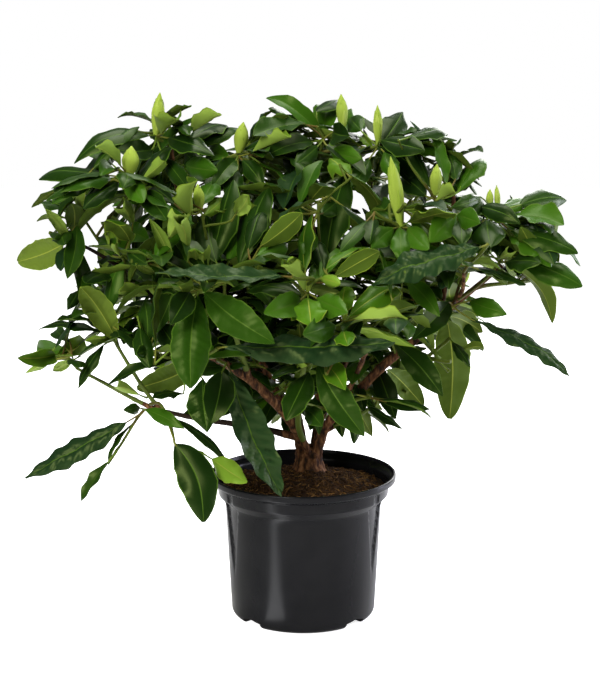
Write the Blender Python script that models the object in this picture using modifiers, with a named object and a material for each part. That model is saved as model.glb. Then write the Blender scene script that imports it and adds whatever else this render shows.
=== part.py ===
"""A potted rhododendron: pot, soil, stems and foliage masses as separate closed solids.

Metres, +Z up. The origin is the middle of the pot's flat underside, and the front of the
plant faces -Y. The leaves stand in whorls at the shoot tips, and each mass is one whorl or
a few close ones.
"""

import math

import bmesh
import bpy
from mathutils import Matrix, Vector, noise
from mathutils.bvhtree import BVHTree

# Driving dimensions
GAP = 0.0003
RIM_R = 0.115
POT_HEIGHT = 0.179
WALL = 0.0022
LIP_HEIGHT = 0.007
LIP_THICKNESS = 0.0027
LIP_EDGE_R = 0.0012
LIP_EDGE_Z = 0.0014
LIP_SLOPE_R = 0.1114
LIP_SLOPE_Z = 0.1696
LIP_ROOT_Z = 0.167
MOUTH_STEP = 0.001
MOUTH_Z = 0.175
MOUTH_FOOT_Z = 0.170
COLLAR_R = 0.1067
COLLAR_FOOT_R = 0.1055
COLLAR_FOOT_Z = 0.154
SHOULDER_R = 0.0985
SHOULDER_Z = 0.146
WALL_TOP_R = 0.0968
WALL_TOP_Z = 0.139
WALL_FOOT_R = 0.0898
WALL_FOOT_Z = 0.008
FOOT_R = 0.083
FOOT_ROUND_R = 0.0016
FOOT_ROUND_Z = 0.0025
BEND_RISE = 0.0012
FOOT_BEND_RISE = 0.001
POT_SEGMENTS = 40
TURN_MERGE = 0.0001
CUTTER_OVER = 0.010

# Four arched pockets in the foot, with a drain hole in the roof of each
POCKET_ANGLES = (-45.6, 45.6, 135.0, 225.0)
POCKET_HALF_WIDTH = 0.0200
POCKET_TOP_HALF_WIDTH = 0.0145
POCKET_HEIGHT = 0.0095
POCKET_INNER_R = 0.060
POCKET_OUTER_R = 0.105
DRAIN_RADIUS = 0.005
DRAIN_AT_R = 0.073
DRAIN_SIDES = 8

SOIL_EDGE_Z = 0.1610
SOIL_TOP_Z = 0.1762
SOIL_FLAT_R = 0.046
SOIL_SLOPE_RISE = 0.0012

TRUNK_X = 0.007
TRUNK_Y = 0.025
TRUNK_TOP_Z = 0.200
TRUNK_FOOT_R = 0.0205
TRUNK_TOP_R = 0.0168
FORK_RING_R = 0.0108
TRUNK_RESOLUTION = 3

# The root crown from the soil to the fork: the share of its height, and the swell there
TRUNK_SWELL = ((0.0, 1.0), (0.12, 0.93), (0.35, 0.84), (0.75, 0.86), (1.0, 1.0))

LIMB_RESOLUTION = 1
LIMB_STEPS = 7
BOUGH_UPRIGHT = 0.002
FORK_CLEARANCE = 0.0012
LEAST_FORK_SINE = 0.35
LIMB_SCAN_STEPS = 60

MASS_AROUND = 12
MASS_UP = 7
MASS_ROUGHNESS = 0.24
MASS_NOISE_PITCH = 24.0
MASS_LOBES = 5
MASS_LOBE_DEPTH = 0.10
MASS_LOBE_TURN = 90.0
MASS_CLEARANCE = 0.0010

# Each mass: centre, half sizes, and the leaf or bud tips it reaches
MASSES = {
    "leaves_far_left": ((-0.282, -0.030, 0.470), (0.045, 0.062, 0.043),
                        ((-0.341, -0.030, 0.444), (-0.317, -0.010, 0.516), (-0.279, -0.050, 0.426))),
    "leaves_left_top": ((-0.222, -0.070, 0.545), (0.075, 0.075, 0.036),
                        ((-0.311, -0.050, 0.556), (-0.196, -0.050, 0.582))),
    "leaves_top_left": ((-0.165, 0.030, 0.588), (0.085, 0.070, 0.036),
                        ((-0.172, 0.020, 0.644), (-0.276, 0.020, 0.565))),
    "leaves_top_middle_left": ((-0.078, 0.010, 0.565), (0.058, 0.072, 0.038),
                               ((-0.073, 0.030, 0.607),)),
    "leaves_top_middle": ((0.008, 0.040, 0.588), (0.060, 0.070, 0.036),
                          ((-0.042, 0.050, 0.641), (0.044, 0.050, 0.641))),
    "leaves_top_right": ((0.098, 0.050, 0.580), (0.052, 0.072, 0.044),
                         ((0.089, 0.030, 0.626), (0.125, 0.060, 0.622))),
    "leaves_right_top": ((0.180, 0.010, 0.545), (0.055, 0.072, 0.042),
                         ((0.214, -0.010, 0.569), (0.176, 0.040, 0.602))),
    "leaves_far_right_top": ((0.255, -0.020, 0.500), (0.062, 0.072, 0.034),
                             ((0.229, -0.020, 0.534), (0.315, -0.020, 0.519))),
    "leaves_far_right": ((0.272, -0.030, 0.436), (0.060, 0.070, 0.034),
                         ((0.335, -0.020, 0.418), (0.327, -0.020, 0.459), (0.298, -0.040, 0.376))),
    "leaves_right_front": ((0.098, -0.110, 0.492), (0.062, 0.075, 0.046),
                           ((0.096, -0.085, 0.572),)),
    "leaves_right_middle": ((0.180, -0.105, 0.448), (0.052, 0.070, 0.038), ()),
    "leaves_centre_top": ((0.018, -0.060, 0.520), (0.052, 0.070, 0.044), ()),
    "leaves_centre": ((-0.002, -0.150, 0.438), (0.056, 0.072, 0.048), ((0.000, -0.245, 0.430),)),
    "leaves_front_right": ((0.082, -0.165, 0.400), (0.066, 0.070, 0.034),
                           ((0.099, -0.170, 0.372), (0.090, -0.250, 0.390))),
    "leaves_left_centre": ((-0.125, -0.090, 0.512), (0.060, 0.070, 0.034), ((-0.121, -0.080, 0.548),)),
    "leaves_left_front": ((-0.110, -0.165, 0.425), (0.056, 0.068, 0.046),
                          ((-0.160, -0.200, 0.455), (-0.130, -0.245, 0.410))),
    "leaves_left_middle": ((-0.180, -0.100, 0.452), (0.048, 0.062, 0.034), ()),
    "leaves_left_low_upper": ((-0.242, -0.075, 0.383), (0.056, 0.056, 0.036),
                              ((-0.259, -0.060, 0.424), (-0.312, -0.060, 0.378))),
    "leaves_left_low": ((-0.288, -0.075, 0.333), (0.044, 0.050, 0.026),
                        ((-0.334, -0.070, 0.340), (-0.265, -0.080, 0.302))),
    "leaves_left_inner": ((-0.152, -0.105, 0.340), (0.056, 0.060, 0.036), ()),
    "leaf_pad_low_left": ((-0.256, -0.090, 0.235), (0.058, 0.020, 0.026),
                          ((-0.330, -0.090, 0.198), (-0.261, -0.100, 0.169), (-0.196, -0.080, 0.272))),
    "leaf_pad_hanging": ((-0.134, -0.110, 0.196), (0.026, 0.012, 0.044),
                         ((-0.117, -0.110, 0.148), (-0.148, -0.104, 0.242))),
    "leaf_pad_over_rim": ((-0.056, -0.125, 0.258), (0.030, 0.016, 0.062),
                          ((-0.024, -0.135, 0.186), (-0.084, -0.112, 0.326))),
    "leaves_front_low": ((0.010, -0.170, 0.340), (0.082, 0.068, 0.028), ((-0.020, -0.240, 0.335),)),
    "leaves_right_low": ((0.160, -0.100, 0.335), (0.045, 0.056, 0.050),
                         ((0.172, -0.070, 0.268), (0.158, -0.095, 0.290))),
    "leaves_right_tail": ((0.250, -0.080, 0.352), (0.060, 0.042, 0.026), ((0.319, -0.070, 0.320),)),
    "leaves_right_inner": ((0.112, 0.040, 0.268), (0.046, 0.050, 0.036),
                           ((0.124, 0.030, 0.229), (0.093, 0.010, 0.219))),
    "leaves_front_inner": ((0.062, -0.095, 0.288), (0.034, 0.026, 0.032), ((0.069, -0.100, 0.250),)),
    "leaves_crown_middle": ((-0.095, 0.050, 0.420), (0.090, 0.066, 0.085), ()),
    "leaves_crown_right": ((0.095, 0.060, 0.425), (0.085, 0.066, 0.080), ()),
    "leaves_back_top": ((-0.035, 0.160, 0.548), (0.090, 0.075, 0.045), ()),
    "leaves_back_left": ((-0.190, 0.150, 0.512), (0.088, 0.078, 0.050), ()),
    "leaves_back_left_low": ((-0.225, 0.130, 0.395), (0.082, 0.070, 0.045), ((-0.310, 0.150, 0.380),)),
    "leaves_back_middle": ((-0.050, 0.220, 0.430), (0.090, 0.065, 0.052), ((-0.040, 0.288, 0.400),)),
    "leaves_back_right": ((0.130, 0.170, 0.520), (0.085, 0.078, 0.048), ()),
    "leaves_back_far_right": ((0.255, 0.110, 0.460), (0.062, 0.080, 0.045), ()),
    "leaves_back_right_low": ((0.170, 0.180, 0.370), (0.082, 0.070, 0.050), ((0.220, 0.250, 0.340),)),
    "leaves_back_low": ((0.010, 0.200, 0.300), (0.085, 0.060, 0.040), ()),
    "leaves_back_left_foot": ((-0.145, 0.160, 0.285), (0.068, 0.052, 0.036), ()),
}

# Boughs that stand on the trunk's forked top: bearing on the fork, radii, and route
BOUGHS = {
    "bough_left": (195, (0.0058, 0.0036),
                   ((-0.013, 0.000, 0.238), (-0.050, -0.030, 0.289), (-0.089, -0.060, 0.325),
                    (-0.110, -0.080, 0.340))),
    "bough_centre": (265, (0.0034, 0.0024),
                     ((-0.006, -0.012, 0.245), (-0.001, -0.055, 0.310), (0.003, -0.095, 0.375),
                      (0.000, -0.130, 0.420))),
    "bough_right": (335, (0.0058, 0.0034),
                    ((0.029, 0.015, 0.235), (0.054, 0.000, 0.267), (0.109, -0.020, 0.326),
                     (0.150, -0.026, 0.362), (0.180, -0.030, 0.392), (0.236, -0.030, 0.440))),
    "bough_middle": (50, (0.0048, 0.0032),
                     ((0.018, 0.045, 0.250), (0.022, 0.055, 0.340), (0.020, 0.060, 0.420),
                      (0.005, 0.050, 0.520))),
    "bough_back": (125, (0.0050, 0.0032),
                   ((-0.008, 0.060, 0.245), (-0.022, 0.110, 0.310), (-0.040, 0.170, 0.380),
                    (-0.050, 0.220, 0.430))),
}

# Limbs that leave a bough: the bough, how far along it, radii, and route
LIMBS = {
    "limb_top_left": ("bough_left", 0.30, (0.0042, 0.0028),
                      ((-0.065, 0.020, 0.340), (-0.110, 0.030, 0.430), (-0.150, 0.030, 0.520),
                       (-0.160, 0.030, 0.580))),
    "limb_low_left": ("bough_left", 0.20, (0.0036, 0.0026),
                      ((-0.066, 0.002, 0.236), (-0.120, -0.036, 0.254), (-0.186, -0.050, 0.276),
                       (-0.228, -0.075, 0.258))),
    "limb_far_left": ("limb_top_left", 0.30, (0.0034, 0.0024),
                      ((-0.130, 0.012, 0.360), (-0.185, 0.006, 0.400), (-0.212, 0.000, 0.428),
                       (-0.250, -0.020, 0.460))),
    "limb_left_shoot": ("limb_low_left", 0.72, (0.0026, 0.0020),
                        ((-0.196, -0.056, 0.306), (-0.222, -0.066, 0.356))),
    "limb_left_tip": ("limb_low_left", 0.78, (0.0024, 0.0018),
                      ((-0.226, -0.060, 0.298), (-0.266, -0.066, 0.322))),
    "stalk_hanging_leaf": ("limb_low_left", 0.50, (0.0018, 0.0014),
                           ((-0.140, -0.070, 0.262), (-0.147, -0.098, 0.246))),
    "limb_left_front": ("bough_left", 0.62, (0.0030, 0.0022),
                        ((-0.078, -0.078, 0.360), (-0.092, -0.120, 0.400))),
    "limb_right_top": ("bough_right", 0.74, (0.0030, 0.0024),
                       ((0.176, -0.010, 0.440), (0.180, 0.000, 0.520))),
    "limb_right_front": ("bough_right", 0.80, (0.0026, 0.0020),
                         ((0.185, -0.060, 0.415), (0.184, -0.090, 0.440))),
    "limb_right_low": ("bough_right", 0.14, (0.0028, 0.0022),
                       ((0.070, 0.030, 0.245), (0.100, 0.038, 0.262))),
    "limb_front_right": ("bough_right", 0.30, (0.0030, 0.0022),
                         ((0.070, -0.070, 0.335), (0.078, -0.120, 0.380))),
    "limb_back_right": ("bough_middle", 0.20, (0.0038, 0.0028),
                        ((0.060, 0.090, 0.310), (0.120, 0.140, 0.350), (0.160, 0.170, 0.370))),
    "limb_back_left": ("bough_back", 0.24, (0.0036, 0.0026),
                       ((-0.070, 0.100, 0.300), (-0.150, 0.120, 0.350), (-0.210, 0.130, 0.390))),
}

POT_COLOR = (0.022, 0.022, 0.025, 1.0)
SOIL_COLOR = (0.060, 0.030, 0.018, 1.0)
BARK_COLOR = (0.150, 0.075, 0.045, 1.0)
SHOOT_COLOR = (0.210, 0.260, 0.060, 1.0)
LEAF_COLOR = (0.030, 0.090, 0.022, 1.0)
POT_ROUGHNESS = 0.38
SOIL_ROUGHNESS = 0.95
BARK_ROUGHNESS = 0.8
SHOOT_ROUGHNESS = 0.6
LEAF_ROUGHNESS = 0.4


def clear_scene():
    for obj in list(bpy.data.objects):
        bpy.data.objects.remove(obj, do_unlink=True)


def new_collection(name):
    collection = bpy.data.collections.new(name)
    bpy.context.scene.collection.children.link(collection)
    return collection


def principled(name, color, roughness):
    material = bpy.data.materials.new(name)
    material.use_nodes = True
    shader = material.node_tree.nodes["Principled BSDF"]
    shader.inputs["Base Color"].default_value = color
    shader.inputs["Roughness"].default_value = roughness
    material.diffuse_color = color
    return material


def mesh_object(name, bm, collection, material=None):
    mesh = bpy.data.meshes.new(name)
    bm.to_mesh(mesh)
    bm.free()
    obj = bpy.data.objects.new(name, mesh)
    collection.objects.link(obj)
    if material:
        mesh.materials.append(material)
    return obj


def turned(name, profile, collection, material=None):
    """A closed turned solid from a profile that runs down the outside and ends on the axis."""
    bm = bmesh.new()
    verts = [bm.verts.new((r, 0.0, z)) for r, z in profile]
    for upper, lower in zip(verts, verts[1:]):
        bm.edges.new((upper, lower))
    obj = mesh_object(name, bm, collection, material)
    screw = obj.modifiers.new("turn", "SCREW")
    screw.steps = POT_SEGMENTS
    screw.render_steps = POT_SEGMENTS
    screw.use_merge_vertices = True
    screw.merge_threshold = TURN_MERGE
    screw.use_smooth_shade = False
    return obj


def as_cutter(obj):
    obj.hide_render = True
    obj.display_type = "WIRE"


def boolean(target, cutter, operation="DIFFERENCE"):
    modifier = target.modifiers.new(operation.lower(), "BOOLEAN")
    modifier.operation = operation
    modifier.solver = "EXACT"
    modifier.object = cutter


def pocket_block(name, angle, grow, collection):
    """A block with sloping sides, lying on a radius: the pocket itself, or grown by its skin."""
    bm = bmesh.new()
    bmesh.ops.create_cube(bm, size=1.0)
    for vert in bm.verts:
        top = vert.co.z > 0
        half = (POCKET_TOP_HALF_WIDTH if top else POCKET_HALF_WIDTH) + grow
        vert.co.x = POCKET_OUTER_R if vert.co.x > 0 else POCKET_INNER_R - grow
        vert.co.y = math.copysign(half, vert.co.y)
        vert.co.z = POCKET_HEIGHT + grow if top else -CUTTER_OVER - grow
    bmesh.ops.rotate(bm, verts=bm.verts, matrix=Matrix.Rotation(math.radians(angle - 90), 3, "Z"))
    block = mesh_object(name, bm, collection)
    as_cutter(block)
    return block


def drain_cutter(name, angle, collection):
    bm = bmesh.new()
    bmesh.ops.create_cone(bm, cap_ends=True, segments=DRAIN_SIDES, radius1=DRAIN_RADIUS,
                          radius2=DRAIN_RADIUS, depth=2 * CUTTER_OVER)
    turn = math.radians(angle - 90)
    spot = Vector((DRAIN_AT_R * math.cos(turn), DRAIN_AT_R * math.sin(turn), POCKET_HEIGHT))
    bmesh.ops.translate(bm, verts=bm.verts, vec=spot)
    cutter = mesh_object(name, bm, collection)
    as_cutter(cutter)
    return cutter


def outer_profile():
    return (
        (0.0, POT_HEIGHT),
        (RIM_R - LIP_EDGE_R, POT_HEIGHT),
        (RIM_R, POT_HEIGHT - LIP_EDGE_Z),
        (RIM_R, POT_HEIGHT - LIP_HEIGHT),
        (LIP_SLOPE_R, LIP_SLOPE_Z),
        (COLLAR_R, LIP_ROOT_Z),
        (COLLAR_FOOT_R, COLLAR_FOOT_Z),
        (SHOULDER_R, SHOULDER_Z),
        (WALL_TOP_R, WALL_TOP_Z),
        (WALL_FOOT_R, WALL_FOOT_Z),
        (WALL_FOOT_R - FOOT_ROUND_R, FOOT_ROUND_Z),
        (FOOT_R, 0.0),
        (0.0, 0.0),
    )


def mouth_profile():
    """The wider mouth inside the rolled lip, from above the rim down to the collar."""
    mouth_r = RIM_R - LIP_THICKNESS
    collar_r = COLLAR_R - WALL
    return (
        (0.0, POT_HEIGHT + CUTTER_OVER),
        (mouth_r, POT_HEIGHT + CUTTER_OVER),
        (mouth_r, POT_HEIGHT),
        (mouth_r - MOUTH_STEP, MOUTH_Z),
        (collar_r + MOUTH_STEP, MOUTH_FOOT_Z),
        (collar_r, LIP_ROOT_Z),
    )


def inner_profile(shrink):
    """The inside of the pot below its collar, drawn in by shrink from the wall and the floor."""
    offset = WALL + shrink
    return (
        (COLLAR_FOOT_R - offset, COLLAR_FOOT_Z + BEND_RISE),
        (SHOULDER_R - offset, SHOULDER_Z + BEND_RISE),
        (WALL_TOP_R - offset, WALL_TOP_Z),
        (WALL_FOOT_R - offset, WALL_FOOT_Z + FOOT_BEND_RISE),
        (FOOT_R - offset, offset),
        (0.0, offset),
    )


def build_pot(parts, cutters):
    plastic = principled("pot plastic", POT_COLOR, POT_ROUGHNESS)
    pot = turned("pot", outer_profile(), parts, plastic)
    cavity = turned("cavity cutter", mouth_profile() + inner_profile(0.0), cutters)
    as_cutter(cavity)
    for angle in POCKET_ANGLES:
        boolean(cavity, pocket_block("pocket skin", angle, WALL, cutters))
    boolean(pot, cavity)
    for angle in POCKET_ANGLES:
        boolean(pot, pocket_block("pocket", angle, 0.0, cutters))
        boolean(pot, drain_cutter("drain", angle, cutters))


def build_soil(parts, cutters):
    """Moist peat: it fills the pot from the floor, and is heaped a little at the stems."""
    earth = principled("soil", SOIL_COLOR, SOIL_ROUGHNESS)
    edge_r = COLLAR_FOOT_R - WALL - GAP
    slope_z = 0.5 * (SOIL_TOP_Z + SOIL_EDGE_Z) + SOIL_SLOPE_RISE
    heap = ((0.0, SOIL_TOP_Z), (SOIL_FLAT_R, SOIL_TOP_Z),
            (0.5 * (SOIL_FLAT_R + edge_r), slope_z), (edge_r, SOIL_EDGE_Z))
    soil = turned("soil", heap + inner_profile(GAP), parts, earth)
    for angle in POCKET_ANGLES:
        boolean(soil, pocket_block("soil step", angle, WALL + GAP, cutters))


def smooth_route(points, steps):
    """Points read at even shares of a smooth curve through the route's own points."""
    spans = len(points) - 1
    padded = [2 * points[0] - points[1]] + list(points) + [2 * points[-1] - points[-2]]
    route = []
    for step in range(steps + 1):
        share = step / steps * spans
        span = min(int(share), spans - 1)
        t = share - span
        a, b, c, d = padded[span:span + 4]
        route.append(0.5 * (2 * b + (c - a) * t + (2 * a - 5 * b + 4 * c - d) * t ** 2
                            + (3 * b - a - 3 * c + d) * t ** 3))
    return route


def tube(name, points, radii, collection, material, resolution):
    """A tapering tube through points, with its radius at each point and closed ends."""
    curve = bpy.data.curves.new(name, "CURVE")
    curve.dimensions = "3D"
    curve.bevel_depth = 1.0
    curve.bevel_resolution = resolution
    curve.use_fill_caps = True
    spline = curve.splines.new("POLY")
    spline.points.add(len(points) - 1)
    for point, co, radius in zip(spline.points, points, radii):
        point.co = (*co, 1.0)
        point.radius = radius
    curve.materials.append(material)
    collection.objects.link(bpy.data.objects.new(name, curve))


def build_trunk(parts, bark):
    """The short root crown: it flares to a flat cut on the soil, and ends flat at the fork."""
    foot_z = SOIL_TOP_Z + GAP
    points = []
    radii = []
    for share, swell in TRUNK_SWELL:
        points.append(Vector((TRUNK_X, TRUNK_Y, foot_z + share * (TRUNK_TOP_Z - foot_z))))
        radii.append(swell * (TRUNK_FOOT_R + share * (TRUNK_TOP_R - TRUNK_FOOT_R)))
    tube("trunk", points, radii, parts, bark, TRUNK_RESOLUTION)


def reach(half, direction):
    """How far an ellipsoid of the given half sizes reaches in a direction."""
    return 1.0 / math.sqrt(sum((direction[i] / half[i]) ** 2 for i in range(3)))


def dividing_planes(name):
    """Planes that keep a mass out of every other mass, each set between the two by their size."""
    centre, half = Vector(MASSES[name][0]), MASSES[name][1]
    planes = []
    for other, (other_centre, other_half, _) in MASSES.items():
        if other == name:
            continue
        across = Vector(other_centre) - centre
        distance = across.length
        across.normalize()
        own, their = reach(half, across), reach(other_half, across)
        limit = distance * own / (own + their)
        if own + their < distance:
            limit = own + 0.5 * (distance - own - their)
        planes.append((across, limit - MASS_CLEARANCE))
    return planes


def build_mass(name, parts, leaf):
    """A closed uneven solid round its centre, cut back to the planes shared with its neighbours."""
    centre, half, tips = Vector(MASSES[name][0]), MASSES[name][1], MASSES[name][2]
    planes = dividing_planes(name)
    bm = bmesh.new()
    bmesh.ops.create_uvsphere(bm, u_segments=MASS_AROUND, v_segments=MASS_UP, radius=1.0)
    directions = {}
    for vert in bm.verts:
        direction = vert.co.normalized()
        directions[vert] = direction
        bearing = math.atan2(direction.y, direction.x)
        rough = noise.noise((centre + direction * half[0]) * MASS_NOISE_PITCH)
        turn = MASS_LOBES * bearing + centre.x * MASS_LOBE_TURN
        lobe = math.cos(turn) * (1.0 - direction.z ** 2)
        distance = reach(half, direction) * (1.0 + MASS_ROUGHNESS * rough + MASS_LOBE_DEPTH * lobe)
        vert.co = direction * cut_back(direction, distance, planes)
    taken = set()
    for tip in tips:
        offset = Vector(tip) - centre
        free = [vert for vert in bm.verts if vert not in taken]
        nearest = max(free, key=lambda vert: directions[vert].dot(offset.normalized()))
        taken.add(nearest)
        direction = offset.normalized()
        nearest.co = direction * cut_back(direction, offset.length, planes)
    bmesh.ops.translate(bm, verts=bm.verts, vec=centre)
    bmesh.ops.triangulate(bm, faces=bm.faces)
    bmesh.ops.recalc_face_normals(bm, faces=bm.faces)
    return mesh_object(name, bm, parts, leaf)


def cut_back(direction, distance, planes):
    for across, limit in planes:
        facing = direction.dot(across)
        if facing > 0.0:
            distance = min(distance, limit / facing)
    return distance


def route_to_mass(points, radii, trees):
    """The part of a smooth route before the first mass it meets, with its radii."""
    scan = smooth_route(points, LIMB_SCAN_STEPS)
    last = LIMB_SCAN_STEPS
    for index, spot in enumerate(scan):
        share = index / LIMB_SCAN_STEPS
        radius = radii[0] + share * (radii[1] - radii[0])
        near = min(tree.find_nearest(spot)[3] for tree in trees)
        if near < radius + MASS_CLEARANCE:
            last = index - 1
            break
    kept = [scan[round(step * last / LIMB_STEPS)] for step in range(LIMB_STEPS + 1)]
    shares = [round(step * last / LIMB_STEPS) / LIMB_SCAN_STEPS for step in range(LIMB_STEPS + 1)]
    return kept, [radii[0] + share * (radii[1] - radii[0]) for share in shares]


def build_boughs(parts, bark, trees):
    """Boughs that stand upright on the fork, each clear of the next."""
    built = {}
    for name, (bearing, radii, route) in BOUGHS.items():
        turn = math.radians(bearing)
        foot = Vector((TRUNK_X + FORK_RING_R * math.cos(turn),
                       TRUNK_Y + FORK_RING_R * math.sin(turn), TRUNK_TOP_Z + GAP))
        points = [foot + Vector((0.0, 0.0, BOUGH_UPRIGHT))] + [Vector(point) for point in route]
        kept, widths = route_to_mass(points, radii, trees)
        kept.insert(0, foot)
        widths.insert(0, radii[0])
        tube(name, kept, widths, parts, bark, LIMB_RESOLUTION)
        built[name] = (kept, widths)
    return built


def build_limbs(parts, wood, trees, built):
    """Limbs that leave a bough's side, each cut square just clear of the bough."""
    for name, (parent, share, radii, route) in LIMBS.items():
        kept, widths = built[parent]
        place = share * (len(kept) - 1)
        index = min(int(place), len(kept) - 2)
        part = place - index
        fork = kept[index].lerp(kept[index + 1], part)
        along = (kept[index + 1] - kept[index]).normalized()
        thick = widths[index] + part * (widths[index + 1] - widths[index])
        first = Vector(route[0])
        away = (first - fork).normalized()
        cosine = abs(away.dot(along))
        sine = max(LEAST_FORK_SINE, math.sqrt(1.0 - cosine * cosine))
        start = fork + away * ((thick + FORK_CLEARANCE + radii[0] * cosine) / sine)
        points = [start] + [Vector(point) for point in route]
        kept, widths = route_to_mass(points, radii, trees)
        tube(name, kept, widths, parts, wood, LIMB_RESOLUTION)
        built[name] = (kept, widths)


def mass_trees(masses):
    trees = []
    for obj in masses:
        corners = [vert.co.copy() for vert in obj.data.vertices]
        faces = [tuple(polygon.vertices) for polygon in obj.data.polygons]
        trees.append(BVHTree.FromPolygons(corners, faces))
    return trees


clear_scene()
plant = new_collection("potted rhododendron")
cutter_box = new_collection("cutters")
build_pot(plant, cutter_box)
build_soil(plant, cutter_box)
bark_material = principled("bark", BARK_COLOR, BARK_ROUGHNESS)
shoot_material = principled("green shoot", SHOOT_COLOR, SHOOT_ROUGHNESS)
leaf_material = principled("leaf", LEAF_COLOR, LEAF_ROUGHNESS)
build_trunk(plant, bark_material)
foliage = [build_mass(name, plant, leaf_material) for name in MASSES]
foliage_trees = mass_trees(foliage)
bough_paths = build_boughs(plant, bark_material, foliage_trees)
build_limbs(plant, shoot_material, foliage_trees, bough_paths)
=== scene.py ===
"""The finished look of a potted evergreen rhododendron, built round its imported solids.

Metres, +Z up. The pot stands on the floor at the origin and the plant's front faces -Y.
"""

import math
import random

import bmesh
import bpy
import numpy as np
from mathutils import Matrix, Vector, noise
from mathutils.bvhtree import BVHTree


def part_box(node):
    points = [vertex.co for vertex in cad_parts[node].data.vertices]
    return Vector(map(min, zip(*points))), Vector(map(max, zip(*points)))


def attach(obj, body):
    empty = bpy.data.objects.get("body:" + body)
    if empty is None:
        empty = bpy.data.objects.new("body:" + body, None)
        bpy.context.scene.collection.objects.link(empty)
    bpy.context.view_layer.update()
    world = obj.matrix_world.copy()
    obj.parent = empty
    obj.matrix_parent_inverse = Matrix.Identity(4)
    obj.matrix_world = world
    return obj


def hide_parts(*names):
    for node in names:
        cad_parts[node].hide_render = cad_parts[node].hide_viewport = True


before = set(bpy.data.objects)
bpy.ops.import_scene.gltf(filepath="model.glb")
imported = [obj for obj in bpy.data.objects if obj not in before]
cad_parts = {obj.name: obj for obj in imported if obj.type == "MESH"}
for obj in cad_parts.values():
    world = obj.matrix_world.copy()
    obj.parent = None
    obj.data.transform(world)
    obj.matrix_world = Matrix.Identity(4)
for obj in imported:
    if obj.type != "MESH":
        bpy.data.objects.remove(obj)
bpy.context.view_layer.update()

# Camera
# The plant is seen from the front and a little above, from 1.7 m away with a long lens.
# A place named by a pixel of the 600 by 700 picture is found again at its depth behind the pot's axis.
CAMERA_AT = Vector((-0.004, -1.7, 0.642))
CAMERA_PITCH = math.radians(10.32)
FOCAL_PIXELS = 1413.0
PICTURE_MIDDLE = (300.0, 350.0)
PICTURE_LONG_SIDE = 700.0
SENSOR_MM = 36.0
MM = 0.001
UP = Vector((0.0, 0.0, 1.0))

camera_data = bpy.data.cameras.new("camera")
camera_data.sensor_width = SENSOR_MM
camera_data.lens = FOCAL_PIXELS * SENSOR_MM / PICTURE_LONG_SIDE
camera = bpy.data.objects.new("camera", camera_data)
camera.location = CAMERA_AT
camera.rotation_euler = (math.radians(90) - CAMERA_PITCH, 0.0, 0.0)
bpy.context.scene.collection.objects.link(camera)
bpy.context.scene.camera = camera


def seen(x, y, depth):
    """The point at this depth behind the pot's axis that shows at pixel x, y."""
    across = (x - PICTURE_MIDDLE[0]) / FOCAL_PIXELS
    rise = (PICTURE_MIDDLE[1] - y) / FOCAL_PIXELS
    sine, cosine = math.sin(CAMERA_PITCH), math.cos(CAMERA_PITCH)
    ray = Vector((across, cosine + rise * sine, -sine + rise * cosine))
    return CAMERA_AT + ray * ((depth - CAMERA_AT.y) / ray.y)


def picture_of(point):
    """The pixel that a point shows at."""
    sine, cosine = math.sin(CAMERA_PITCH), math.cos(CAMERA_PITCH)
    offset = Vector(point) - CAMERA_AT
    away = offset.y * cosine - offset.z * sine
    rise = offset.y * sine + offset.z * cosine
    return (PICTURE_MIDDLE[0] + FOCAL_PIXELS * offset.x / away,
            PICTURE_MIDDLE[1] - FOCAL_PIXELS * rise / away)


# Pot
# A blow-moulded nursery container in dark grey plastic, 230 mm across its rolled lip. Below the lip
# are a plain collar, a sloping shoulder and a tapered wall with four shallow wedge-shaped flutes.
# The foot has four arched pockets, each with a drain hole, so that it stands on its middle and four feet.
POT_HEIGHT = 179 * MM
POT_WALL = 2.2 * MM
LIP_R = 115 * MM
LIP_DEPTH = 7 * MM
LIP_ROUND = 1.2 * MM
LIP_THICK = 2.7 * MM
LIP_CURL = 3 * MM
LIP_CURL_RISE = 1 * MM
LIP_CURL_END = -75
COLLAR_R = 106.7 * MM
COLLAR_TOP_Z = 167 * MM
COLLAR_FOOT_R = 105.5 * MM
COLLAR_FOOT_Z = 154 * MM
COLLAR_LEVELS = (0.25, 0.5, 0.75, 0.96)
SHOULDER_R = 98.5 * MM
SHOULDER_Z = 146 * MM
WALL_TOP_R = 96.8 * MM
WALL_TOP_Z = 139 * MM
WALL_FOOT_R = 89.8 * MM
WALL_FOOT_Z = 8 * MM
WALL_LEVELS = 26
INNER_RISE = 1 * MM
FOOT_R = 83 * MM
FOOT_ROUND = 6.8 * MM
FOOT_LIFT = 0.4 * MM
# Soft corners: how far each of their points stands out from the sharp corner, and above it
COLLAR_TOP_SOFT = ((1.2 * MM, 0.8 * MM), (0.0, -0.6 * MM))
COLLAR_FOOT_SOFT = ((-0.5 * MM, -0.3 * MM),)
SHOULDER_SOFT = ((0.5 * MM, 0.4 * MM), (0.0, -0.4 * MM), (-1.0 * MM, -3.5 * MM))
MOUTH_SOFT = ((0.0, 10 * MM), (0.0, 0.0), (-1 * MM, -4 * MM))
NECK_SOFT = ((1 * MM, -9 * MM), (0.0, -12 * MM))
ROUND_STEPS, CURL_STEPS, FOOT_STEPS = 4, 5, 6
POT_SEGMENTS = 288
WELD_GAP = 0.001 * MM
FRONT_ANGLE = -90.0
FLUTE_ANGLES = (-65.5, 65.5, -114.5, 114.5)
FLUTE_HALF_ANGLE = 11.5
FLUTE_EDGE_ANGLE = 1.6
FLUTE_TOP_Z = 147 * MM
FLUTE_FOOT_Z = 52 * MM
FLUTE_DEPTH = 2.8 * MM
FLUTE_DEEPENING = 2.5
NICK_ANGLES = (-57.0, 57.0, -123.0, 123.0)
NICK_HALF_ANGLE = 3.0
NICK_DEPTH = 1.6 * MM
NICK_TOP_Z = COLLAR_TOP_Z - 1 * MM
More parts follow.
